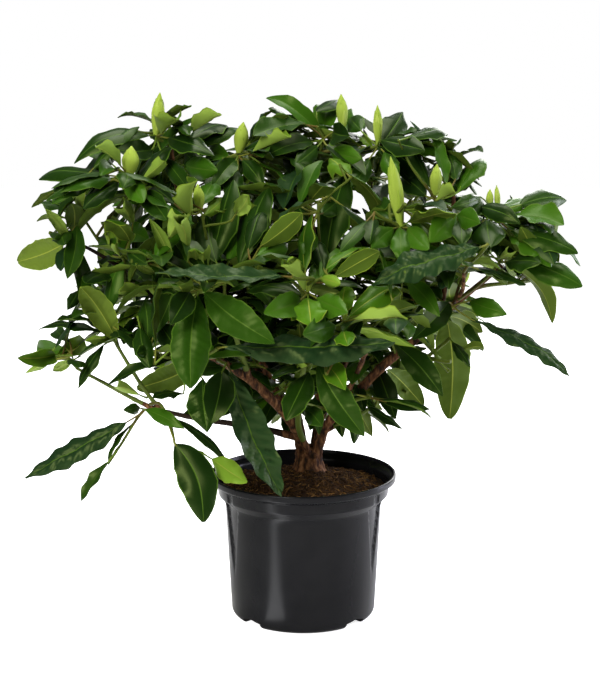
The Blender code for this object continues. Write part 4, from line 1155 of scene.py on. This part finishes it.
def leaf_slots(kind, side, lane):
    """The material slots of a blade's faces, with a shade drawn for each of its two sides."""
    top, under = FACES[kind]
    top_slot = SLOT_OF[top, growth.randrange(len(TINTS[top]))]
    under_slot = SLOT_OF[under, growth.randrange(len(TINTS[under]))]
    slots = np.where(side == 0, top_slot, under_slot)
    if kind == "bud":
        return slots
    shade = 0 if kind in DEEP_KINDS else 1
    rib_slots = (SLOT_OF["rib", shade], SLOT_OF["rib", PALE_UNDER_RIB if under == "pale" else UNDER_RIB])
    edge_slot = top_slot if kind == "old" else SLOT_OF["edge", shade]
    slots = np.where(lane == 1, np.where(side == 0, *rib_slots), slots)
    return np.where((lane == 2) | (side == 2), edge_slot, slots)


def lay_leaf(spray, base, tip, normal, width, kind, form, bow, cup, full, widest, twist=0.0, curl=0.0,
             sway=0.0, wave=0.0, relief=0.0):
    """Bends a leaf blank from its base to its tip and adds it to the spray."""
    points, faces, side, lane = BLANKS[form]
    u, v, upper = points[:, 0], points[:, 1], points[:, 2]
    base, tip, normal = np.array(base), np.array(tip), np.array(normal)
    length = np.linalg.norm(tip - base)
    ahead = (tip - base) / length
    normal = normal - ahead * normal.dot(ahead)
    normal /= np.linalg.norm(normal)
    sideways = np.cross(normal, ahead)

    def spine(share):
        share = share[:, None]
        curled = np.maximum(0.0, (share - CURL_START) / (1 - CURL_START))
        return (base + (tip - base) * share + normal * length * bow * 4 * share * (1 - share)
                - normal * length * curl * curled ** 2 + sideways * length * sway * np.sin(math.pi * share))

    heading = spine(u + SPINE_STEP) - spine(u - SPINE_STEP)
    heading /= np.linalg.norm(heading, axis=1)[:, None]
    out = normal[None, :] - heading * (heading @ normal)[:, None]
    out /= np.linalg.norm(out, axis=1)[:, None]
    lateral = np.cross(out, heading)
    turn = (twist * (u - TWIST_CENTRE))[:, None]
    out, lateral = out * np.cos(turn) + lateral * np.sin(turn), lateral * np.cos(turn) - out * np.sin(turn)
    outline = np.maximum(LEAST_OUTLINE, np.sin(math.pi * np.clip(u, 0.0, 1.0) ** widest)) ** full
    rough = 0
    if kind != "bud":
        for (reach, number, spread, shift), size in zip(EDGE_WAVES, (length, width)):
            rough = rough + reach * np.sin(number * u + spread * size + shift * np.sign(v))
    half = 0.5 * width * outline * (1 + rough * np.sin(math.pi * u))
    flat = half * np.sin(cup * v) / cup
    drop = -half * (1 - np.cos(cup * v)) / cup
    drop -= GROOVE_DEPTH * width * np.exp(-(v / GROOVE_REACH) ** 2) * np.sin(math.pi * u)
    phase = MARGIN_WAVES * u + np.where(v > 0, MARGIN_SIDE, 0.0) + MARGIN_SPREAD * length
    drop += wave * half * np.abs(v) ** MARGIN_POWER * np.sin(phase)
    if form == "quilted":
        drop += quilting(u, v, width, relief)
    rib = RIB_HEIGHT * np.exp(-(v / RIB_REACH) ** 2) * (1 - upper)
    thick = LEAF_THICKNESS * (1 - EDGE_THINS * np.abs(v)) + rib
    place = spine(u) + lateral * flat[:, None] + out * (drop + (upper - 0.5) * thick)[:, None]
    spray.add(place, faces, {4: leaf_slots(kind, side, lane)})


def turned_to_camera(base, ahead, facing):
    """The upper face's direction: square to the leaf, this much of it to the camera and the rest up."""
    towards = (CAMERA_AT - base).normalized()
    to_camera = across_to(ahead, towards)
    beside = ahead.cross(to_camera)
    if beside.z < 0:
        beside = -beside
    share = max(-1.0, min(1.0, facing / max(LEAST_TURN, to_camera.dot(towards))))
    return to_camera * share + beside * math.sqrt(1 - share * share)


foliage_nodes = [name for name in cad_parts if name.startswith("lea")]
corners, triangles = [], []
for name in foliage_nodes:
    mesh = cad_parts[name].data
    triangles += [tuple(len(corners) + index for index in polygon.vertices) for polygon in mesh.polygons]
    corners += [vert.co.copy() for vert in mesh.vertices]
foliage_tree = BVHTree.FromPolygons(corners, triangles)


def inside_foliage(point, margin):
    """Whether a point lies in the masses of leaves or this close to them."""
    near, normal, _, distance = foliage_tree.find_nearest(point)
    return distance < margin or (point - near).dot(normal) < 0


def in_open_spot(point):
    """Whether a point shows in one of the photo's open spots."""
    x, y = picture_of(point)
    return any(math.hypot(x - sky_x, y - sky_y) < radius for sky_x, sky_y, radius in SKY)


def shows_in_sky(point):
    """Whether a point shows in the photo where the plant is open."""
    if in_open_spot(point):
        return True
    if foliage_tree.ray_cast(CAMERA_AT, (point - CAMERA_AT).normalized())[0] is not None:
        return False
    return foliage_tree.find_nearest(point)[3] > SKY_MARGIN


def crowds_the_front(point):
    """Whether a point would stand before a leaf that the photo shows, or beside one of its buds."""
    x, y = picture_of(point)
    for (foot_x, foot_y, _), (tip_x, tip_y, _), _ in SEEN_BUDS.values():
        share = min(1.0, max(0.0, (foot_y - y) / (foot_y - tip_y)))
        if math.hypot(x - foot_x - share * (tip_x - foot_x), y - foot_y - share * (tip_y - foot_y)) < BUD_ROOM:
            return True
    heading, reach = (point - CAMERA_AT).normalized(), (point - CAMERA_AT).length
    hits = [tree.ray_cast(CAMERA_AT, heading) for tree in front_trees]
    return any(hit[0] is not None and hit[3] > reach - LEAF_ROOM for hit in hits)


def finds_room(spots, margin, shade):
    """Whether a leaf with these points, its tip first, fits the crown and clears what the photo shows."""
    if shade:
        fits = not any(in_open_spot(spot) for spot in spots)
    else:
        fits = inside_foliage(spots[0], margin) and not any(shows_in_sky(spot) for spot in spots)
    return fits and not any(crowds_the_front(spot) for spot in spots)


stem_ends, petioles, bud_places = [], Spray(), []
petiole_blank = rod_blank(PETIOLE_STEPS, PETIOLE_SIDES)


def add_petiole(foot, base, ahead, kind):
    """The leaf stalk, from the shoot out and along to the blade's base."""
    reach = (base - foot).length
    middle = foot.lerp(base, 0.5) - ahead * PETIOLE_DROOP[0] * reach + UP * PETIOLE_DROOP[1] * reach
    path = [foot, foot.lerp(middle, PETIOLE_BENDS[0]), middle.lerp(base, PETIOLE_BENDS[1]), base,
            base + ahead * PETIOLE_END]
    red = kind in ("old", "dark") and growth.random() < RED_PETIOLE_CHANCE
    shade = RED_PETIOLE if red else growth.randrange(RED_PETIOLE)
    petioles.add(*rod(petiole_blank, path, [radius * MM for radius in PETIOLE_RADII]), shade)


def shoot_axis(seat):
    """A shoot's heading: upwards, and out from the middle of the plant."""
    outward = Vector((seat.x, seat.y - SHOOT_CENTRE_Y, 0.0))
    return (outward.normalized() * min(SHOOT_LEAN, outward.length * LEAN_BY_REACH) + UP).normalized()


def drawn(bends):
    """One value for each bend, drawn from its range or its list."""
    return {name: growth.choice(values) if isinstance(values, list) else growth.uniform(*values)
            for name, values in bends.items()}


def grow_whorl(spray, seat, axis, count, kinds, back_only=False, shade=False):
    """The shoot rule: leaves round a shoot's end at golden steps, where the crown leaves room for them."""
    side = across_to(axis, Vector(WHORL_GUIDE))
    other = axis.cross(side)
    start, grown = growth.uniform(0, math.tau), 0
    margin = FRONT_MARGIN if seat.y < REAR_Y else REAR_MARGIN
    for step in range(count * 2):
        if grown == count:
            break
        angle = start + step * GOLDEN_STEP
        outward = side * math.cos(angle) + other * math.sin(angle)
        if back_only and outward.y < BEHIND:
            continue
        ahead = (outward + axis * growth.uniform(*RULE_LIFT)).normalized()
        length = growth.uniform(*RULE_LENGTHS) * MM
        width = length * growth.uniform(*RULE_WIDTHS)
        base = seat + ahead * growth.uniform(*RULE_GAPS) * MM
        for _ in range(RULE_TRIES):
            tip = base + ahead * length
            if finds_room((tip, *[base.lerp(tip, share) for share in TRIED_SPOTS]), margin, shade):
                break
            length *= RULE_SHORTER
        else:
            continue
        if length < SHORTEST_LEAF:
            continue
        roll = Vector((growth.uniform(*RULE_ROLL), growth.uniform(*RULE_ROLL), 0))
        normal = across_to(ahead, UP + outward * RULE_DROOP + roll)
        kind = growth.choice(kinds)
        lay_leaf(spray, base, tip, normal, min(width, WIDEST), kind, "ordinary", **drawn(RULE_BENDS))
        add_petiole(seat, base, ahead, kind)
        grown += 1


def lay_seen_leaf(spray, seat, row):
    """A leaf that the photo shows, from its pixels and its whorl's depth."""
    base_x, base_y, tip_x, tip_y, seen_width, facing, kind = row[:7]
    manner = row[7] if len(row) > 7 else ""
    width = max(NARROWEST, min(WIDEST, PIXEL_SIZE * seen_width / abs(facing)))
    depth = seat.y
    flat = (seen(tip_x, tip_y, depth) - seen(base_x, base_y, depth)).length
    real = min(LONGEST_LEAF, LEAF_LENGTH_SHARE * width)
    lean = math.sqrt(real ** 2 - flat ** 2) if real > flat else 0.0
    lean = min(lean, MOST_LEAN) + growth.uniform(*LEAN_CHANCE) * MM
    rising = tip_y < base_y
    if (facing < 0) == rising:
        lean = -lean
    if manner == "quilt":
        lean = QUILTED_LEAN
    base = seen(base_x, base_y, depth + BASE_LEAN * lean + growth.uniform(*BASE_CHANCE) * MM)
    tip = seen(tip_x, tip_y, depth + TIP_LEAN * lean)
    ahead = (tip - base).normalized()
    normal = turned_to_camera(base, ahead, facing)
    young = kind in YOUNG_KINDS
    bow = MANNER_BOWS.get(manner, growth.uniform(*SEEN_BOWS))
    twist = growth.uniform(*(YOUNG_TWISTS if young else OLDER_TWISTS))
    cup = growth.choice(YOUNG_CUPS if young else OLDER_CUPS)
    if abs(facing) > FLAT_FACING and manner != "quilt":
        cup = growth.choice(FLAT_CUPS)
    full = MANNER_FULLS.get(manner, growth.uniform(*SEEN_FULLS))
    wave = growth.uniform(*(YOUNG_WAVES if young else OLDER_WAVES))
    curl = growth.uniform(*SEEN_CURLS)
    sway = HANGING_SWAY if manner == "sway" else growth.uniform(*SEEN_SWAYS)
    relief = MANNER_RELIEFS.get(manner, 0.0)
    lay_leaf(spray, base, tip, normal, width, kind, "quilted" if relief else "fine", bow=bow, cup=cup,
             twist=twist, curl=curl, sway=sway, wave=wave * VEINED_WAVE if manner == "vein" else wave,
             full=full, widest=growth.uniform(*SEEN_WIDEST), relief=relief)
    foot = seat
    if (base - seat).length > WHORL_REACH:
        foot = base - ahead * PETIOLE_LENGTH
        lead = ahead * LEAD_AHEAD + UP * LEAD_UP + (foot - seat).normalized() * LEAD_OUT
        stem_ends.append((foot, lead.normalized(), SIDE_SHOOT_R))
    add_petiole(foot, base, ahead, kind)


front_sprays = {"front_leaves": Spray(), "young_leaves": Spray(), "quilted_leaves": Spray()}
crown_leaves, rear_leaves = Spray(), Spray()
for (seat_x, seat_y, seat_depth), rows in WHORLS.values():
    seat = seen(seat_x, seat_y, seat_depth * MM)
    stem_ends.append((seat, shoot_axis(seat), SHOOT_R))
    for row in rows:
        piece_name = "young_leaves" if row[6] in TENDER_KINDS else "front_leaves"
        if len(row) > 7:
            piece_name = "quilted_leaves"
        lay_seen_leaf(front_sprays[piece_name], seat, row)
front_pieces = [spray.keep(name, leaf_materials) for name, spray in front_sprays.items()]
front_trees = [BVHTree.FromObject(piece, bpy.context.evaluated_depsgraph_get()) for piece in front_pieces]
for (seat_x, seat_y, seat_depth), rows in WHORLS.values():
    seat = seen(seat_x, seat_y, seat_depth * MM)
    if len(rows) > FULL_WHORL:
        grow_whorl(crown_leaves, seat + BACK_SHIFT, shoot_axis(seat), BACK_LEAVES, BACK_KINDS, back_only=True)
for x, y, depth in SHADE_SEATS:
    seat = seen(x, y, depth * MM)
    stem_ends.append((seat, shoot_axis(seat), SHADE_SHOOT_R))
    grow_whorl(crown_leaves, seat, shoot_axis(seat), SHADE_LEAVES, SHADE_KINDS, shade=True)
for name in foliage_nodes:
    if name.startswith("leaf_pad"):
        continue
    low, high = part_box(name)
    centre, half = (low + high) / 2, (high - low) / 2
    count = next(number for start, number in RULE_WHORLS.items() if name.startswith(start))
    for index in range(count):
        angle, lift = index * MASS_STEP + MASS_START, growth.uniform(*MASS_LIFT)
        outward = Vector((math.cos(angle) * half.x, math.sin(angle) * half.y, lift * half.z))
        seat = centre + outward * (LARGE_MASS_SHARE if count > SMALL_MASS else SMALL_MASS_SHARE)
        if count == SMALL_MASS:
            seat.y += SMALL_MASS_BACK * half.y
        axis = (shoot_axis(seat) + outward.normalized() * MASS_LEAN).normalized()
        stem_ends.append((seat, axis, SHOOT_R))
        grow_whorl(rear_leaves if name.startswith(REAR_MASSES) else crown_leaves, seat, axis,
                   growth.randint(*MASS_LEAVES), REAR_KINDS if seat.y > REAR_Y else INNER_KINDS)
        if seat.y > REAR_BUD_Y and growth.random() < REAR_BUD_CHANCE:
            bud_places.append((seat, axis, *REAR_BUD))
crown_piece = crown_leaves.keep("crown_leaves", leaf_materials)
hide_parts(*[name for name in foliage_nodes if not name.startswith(REAR_MASSES)])
rear_piece = rear_leaves.keep("rear_leaves", leaf_materials)
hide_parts(*[name for name in foliage_nodes if name.startswith(REAR_MASSES)])
petiole_piece = petioles.keep("leaf_stalks", [plain("stalk_%d" % index, shade, GLOSS["petiole"], **LEAF_SHEEN)
                                              for index, shade in enumerate(TINTS["petiole"])])
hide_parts("stalk_hanging_leaf")

# Twigs
# Young shoots that join every whorl to the nearest wood. They arch out of an older stem and rise into
# the whorl. The last growth is green, and what lies behind it turns olive and then brown.
TWIG_TINTS = ((0.060, 0.082, 0.011), (0.060, 0.056, 0.012), (0.036, 0.018, 0.008))
TWIG_ROUGHNESS = 0.5
GREEN_LENGTH = 48 * MM
OLIVE_LENGTH = 100 * MM
TWIG_STEP = 7 * MM
TWIG_SIDES = 8
FEWEST_STEPS = 5
# Twigs that the photo shows, as pixels and depths in mm
SEEN_TWIGS = {
    "far left, upper": ((118, 262, -8), (101, 244, -14), (85, 221, -19), (80, 215, -20)),
    "right node, up": ((453, 306, -55), (460, 284, -50), (470, 266, -42), (484, 250, -33), (492, 214, -22)),
    "right node, tip": ((458, 300, -55), (480, 284, -44), (496, 267, -34), (501, 260, -30)),
    "low tip stem": ((145, 409, -86), (136, 420, -88), (122, 442, -90), (108, 464, -90)),
    "bud9 stem": ((212, 266, -52), (209, 248, -62), (205, 229, -74), (202, 214, -82)),
    "hanging stalk": ((150, 404, -78), (160, 404, -92), (170, 424, -104), (174.7, 444, -108)),
}
SEEN_TWIG_RADII = (2.0 * MM, 1.7 * MM, 1.5 * MM)
SEEN_TWIG_STEPS = 14
SEEN_TWIG_WANDER = 1.2 * MM
SEEN_TWIG_SEED, TWIG_SEED = 60, 80
TWIG_WANDER = 0.02
# A place on the wood costs its distance, and more where its slope, the whorl's heading or the wood's own
# heading falls short of the second number
SLOPE_COST, WHORL_COST, WOOD_COST = (1.2, 0.15), (1.5, 0.2), (0.9, 0.3)
TOO_NEAR = 10 * MM
TOO_NEAR_COST = 1.0
SHORTEST_TWIG = 13 * MM
# How strongly an arch follows the wood where it leaves, the shoot where it arrives, and the straight way
LEAVE_PULL, ARRIVE_PULL, STRAIGHT_PULL = 0.5, 0.6, 0.7
LEAST_PULL = 0.1
THICKEST_SHARE = 0.85
WIDER_BY_LENGTH = 0.008
TWIG_FOOT_SWELL, TWIG_TIP_SWELL = 1.25, 1.15
twigs = Spray()


def grow_twig(path, radii):
    """A twig along a path, with its bark's colour by the distance to its tip."""
    blank = rod_blank(len(path) - 1, TWIG_SIDES)
    length = sum((b - a).length for a, b in zip(path, path[1:]))
    points, faces = rod(blank, path, radii)
    slots = {}
    for size, group in faces.items():
        to_end = (1 - blank[0][group][:, :, 2].mean(axis=1)) * length
        slots[size] = np.where(to_end < GREEN_LENGTH, 0, np.where(to_end < OLIVE_LENGTH, 1, 2))
    twigs.add(points, faces, slots)
    note_wood(path, (radii[0], radii[-1]))


def shortfall(cost, values):
    """What values below a cost's limit add to the distance."""
    weight, least = cost
    return weight * np.maximum(0, least - values)


def nearest_wood(seat, axis):
    """The noted point of wood that a shoot would best grow from, and its distance."""
    across = np.array(seat) - np.array(wood_points)
    distance = np.linalg.norm(across, axis=1)
    across /= np.maximum(distance, 1e-6)[:, None]
    cost = distance * (1 + shortfall(SLOPE_COST, across[:, 2]) + shortfall(WHORL_COST, across @ np.array(axis))
                       + shortfall(WOOD_COST, (np.array(wood_headings) * across).sum(axis=1)))
    cost[distance < TOO_NEAR] = TOO_NEAR_COST
    chosen = int(cost.argmin())
    return chosen, float(distance[chosen])


def arch(start, leave, end, arrive, steps):
    """Points of a curve that leaves its start and reaches its end with the given pulls."""
    path = []
    for step in range(steps + 1):
        t = step / steps
        path.append(start * (2 * t ** 3 - 3 * t ** 2 + 1) + leave * (t ** 3 - 2 * t ** 2 + t)
                    + end * (-2 * t ** 3 + 3 * t ** 2) + arrive * (t ** 3 - t ** 2))
    return path


for seed, route in enumerate(SEEN_TWIGS.values()):
    path = smooth_route([seen(x, y, depth * MM) for x, y, depth in route], SEEN_TWIG_STEPS)
    grow_twig(wander(path, SEEN_TWIG_WANDER, seed + SEEN_TWIG_SEED), SEEN_TWIG_RADII)
trunk_top = Vector((TRUNK_X, TRUNK_Y, TRUNK_TOP_Z))
stem_ends.sort(key=lambda end: (end[0] - trunk_top).length)
for seed, (seat, axis, radius) in enumerate(stem_ends):
    chosen, gap = nearest_wood(seat, axis)
    if gap < SHORTEST_TWIG:
        continue
    start, along = wood_points[chosen], wood_headings[chosen]
    straight = (seat - start).normalized()
    leave = (along * max(LEAST_PULL, along.dot(straight)) * LEAVE_PULL + straight * STRAIGHT_PULL) * gap
    arrive = (axis * max(0.0, axis.dot(straight)) * ARRIVE_PULL + straight * STRAIGHT_PULL) * gap
    path = arch(start, leave, seat, arrive, max(FEWEST_STEPS, int(gap / TWIG_STEP)))
    thick = min(THICKEST_SHARE * wood_radii[chosen], radius + gap * WIDER_BY_LENGTH)
    grow_twig(wander(path, TWIG_WANDER * gap, seed + TWIG_SEED),
              (thick * TWIG_FOOT_SWELL, thick, 0.5 * (thick + radius), radius * TWIG_TIP_SWELL))
twig_piece = twigs.keep("young_shoots", [plain("shoot_%d" % index, tint, TWIG_ROUGHNESS, **LEAF_SHEEN)
                                         for index, tint in enumerate(TWIG_TINTS)])

# Buds
# Closed winter buds at the shoot tips, some fat with next season's flowers. Pale yellow-green scales
# overlap round each one, and small leaf buds stand between the young leaves.
SCALE_COUNT = 10
BUD_SWELL = 0.56
BUD_ROWS, BUD_SIDES = 10, 12
BUD_GUIDE = (0.3, -0.9, 0.1)
# The spindle inside the scales: where its radius is read, its pointed end and its size beside the scales
BODY_SHARES = (0, 0.1, 0.2, 0.3, 0.45, 0.6, 0.75, 0.88)
BODY_POINT = 0.06
BODY_R_SHARE = 0.86
# A bud's outline: where on a sine it begins, and its fullness
OUTLINE_START, OUTLINE_POWER = 0.10, 0.8
# Scales: where the first and the last begin, how far each reaches, and how they stand off the bud
FIRST_SCALE, LAST_SCALE = 0.01, 0.43
SCALE_REACH, SCALE_LIMIT = 0.52, 0.98
SCALE_FOOT_R, SCALE_TIP_R, SCALE_TIP_GAP = 0.62, 0.84, 0.008
LEAST_TIP = 0.05
SCALE_WIDTH = 2.0
SCALE_BENDS = {"bow": 0.07, "cup": 1.35, "full": 0.7, "widest": 0.9}
buds = Spray()
bud_blank = rod_blank(BUD_ROWS, BUD_SIDES)


def bud_outline(share, least=0.0):
    """A bud's radius at this share of its length, as a share of its greatest radius."""
    return max(least, math.sin(math.pi * (OUTLINE_START + (1 - OUTLINE_START) * share))) ** OUTLINE_POWER


def add_bud(foot, tip, radius):
    """A pointed bud: a spindle inside scales that overlap upwards round it."""
    axis = (tip - foot).normalized()
    length = (tip - foot).length
    side = across_to(axis, Vector(BUD_GUIDE))
    other = axis.cross(side)
    swell = [bud_outline(share) for share in BODY_SHARES] + [BODY_POINT]
    buds.add(*rod(bud_blank, [foot + axis * length * quarter / 4 for quarter in range(5)],
                  [BODY_R_SHARE * radius * part for part in swell]), SLOT_OF["bud", 0])
    for index in range(SCALE_COUNT):
        share = FIRST_SCALE + (LAST_SCALE - FIRST_SCALE) * index / (SCALE_COUNT - 1)
        high = min(SCALE_LIMIT, share + SCALE_REACH)
        here, there = radius * bud_outline(share), radius * bud_outline(high, LEAST_TIP)
        outward = side * math.cos(index * GOLDEN_STEP) + other * math.sin(index * GOLDEN_STEP)
        base = foot + axis * length * share + outward * here * SCALE_FOOT_R
        point = foot + axis * length * high + outward * (there * SCALE_TIP_R + SCALE_TIP_GAP * length)
        lay_leaf(buds, base, point, outward, SCALE_WIDTH * max(here, 0.5 * radius), "bud", "ordinary",
                 **SCALE_BENDS)


for foot, tip, width in SEEN_BUDS.values():
    foot, tip = [seen(x, y, depth * MM) for x, y, depth in (foot, tip)]
    add_bud(foot, tip, BUD_SWELL * width * PIXEL_SIZE)
for seat, axis, length, radius in bud_places:
    add_bud(seat, seat + axis * length, radius)
bud_piece = buds.keep("winter_buds", leaf_materials)

# Floor and light
# A plain white floor with a white surround. A large soft light stands at the front left, weaker ones at the
# right, behind and above, and a thin strip on the floor draws the upright streak of light on the pot.
FLOOR_HALF = 6.0
FLOOR_PLACE = (0.0, 2.0, -0.3 * MM)
FLOOR_TINT = (0.92, 0.92, 0.92)
FLOOR_ROUGHNESS = 0.8
WHITE = (1.0, 1.0, 1.0, 1.0)
# How bright the floor's own glow and the surround are: as they light the plant, and as the camera sees them
FLOOR_GLOW = (0.0, 0.9)
SURROUND_GLOW = (0.13, 1.0)
# Each light: its place, what it points at, its width and height, its power and its colour
LIGHTS = {
    "front left": ((-1.1, -1.9, 1.7), (0.0, 0.0, 0.35), (0.9, 1.6), 88.0, (1.0, 0.99, 0.95)),
    "right": ((1.9, -0.3, 1.2), (0.0, 0.0, 0.3), (0.7, 1.4), 25.0, (0.93, 0.94, 1.0)),
    "floor strip": ((-0.197, -0.255, 0.014), (-0.163, -0.219, 1.0), (0.042, 0.42), 0.40, (0.96, 0.97, 1.0)),
    "low strip right": ((0.95, 0.25, 0.4), (0.0, 0.0, 0.1), (0.14, 0.8), 8.0, (0.80, 0.80, 1.0)),
    "back": ((0.9, 2.1, 1.3), (0.0, 0.0, 0.35), (1.2, 1.2), 36.0, (1.0, 1.0, 1.0)),
    "top": ((0.1, 0.3, 2.2), (0.0, 0.0, 0.4), (1.6, 1.2), 46.0, (1.0, 1.0, 1.0)),
}


def only_to_camera(tree, socket, glow):
    """Gives a strength one value where it lights the plant and another where the camera looks at it."""
    path_kind = tree.nodes.new("ShaderNodeLightPath")
    strength = tree.nodes.new("ShaderNodeMapRange")
    strength.inputs["To Min"].default_value, strength.inputs["To Max"].default_value = glow
    tree.links.new(path_kind.outputs["Is Camera Ray"], strength.inputs["Value"])
    tree.links.new(strength.outputs["Result"], socket)


floor_skin = bmesh.new()
bmesh.ops.create_grid(floor_skin, x_segments=1, y_segments=1, size=FLOOR_HALF)
bmesh.ops.translate(floor_skin, verts=floor_skin.verts, vec=FLOOR_PLACE)
floor_white = plain("floor_white", FLOOR_TINT, FLOOR_ROUGHNESS, **{"Emission Color": WHITE})
only_to_camera(floor_white.node_tree, floor_white.node_tree.nodes["Principled BSDF"].inputs["Emission Strength"],
               FLOOR_GLOW)
floor = keep_mesh("floor", floor_skin, floor_white)
for name, (place, target, size, power, tint) in LIGHTS.items():
    data = bpy.data.lights.new(name, "AREA")
    data.shape = "RECTANGLE"
    data.size, data.size_y = size
    data.energy = power
    data.color = tint
    light = bpy.data.objects.new(name, data)
    light.location = place
    light.rotation_euler = (Vector(target) - Vector(place)).to_track_quat("-Z", "Y").to_euler()
    light.visible_camera = False
    bpy.context.scene.collection.objects.link(light)
surround = bpy.data.worlds.new("surround")
surround.use_nodes = True
backdrop = surround.node_tree.nodes["Background"]
backdrop.inputs["Color"].default_value = WHITE
only_to_camera(surround.node_tree, backdrop.inputs["Strength"], SURROUND_GLOW)
bpy.context.scene.world = surround
bpy.context.scene.view_settings.view_transform = "Standard"
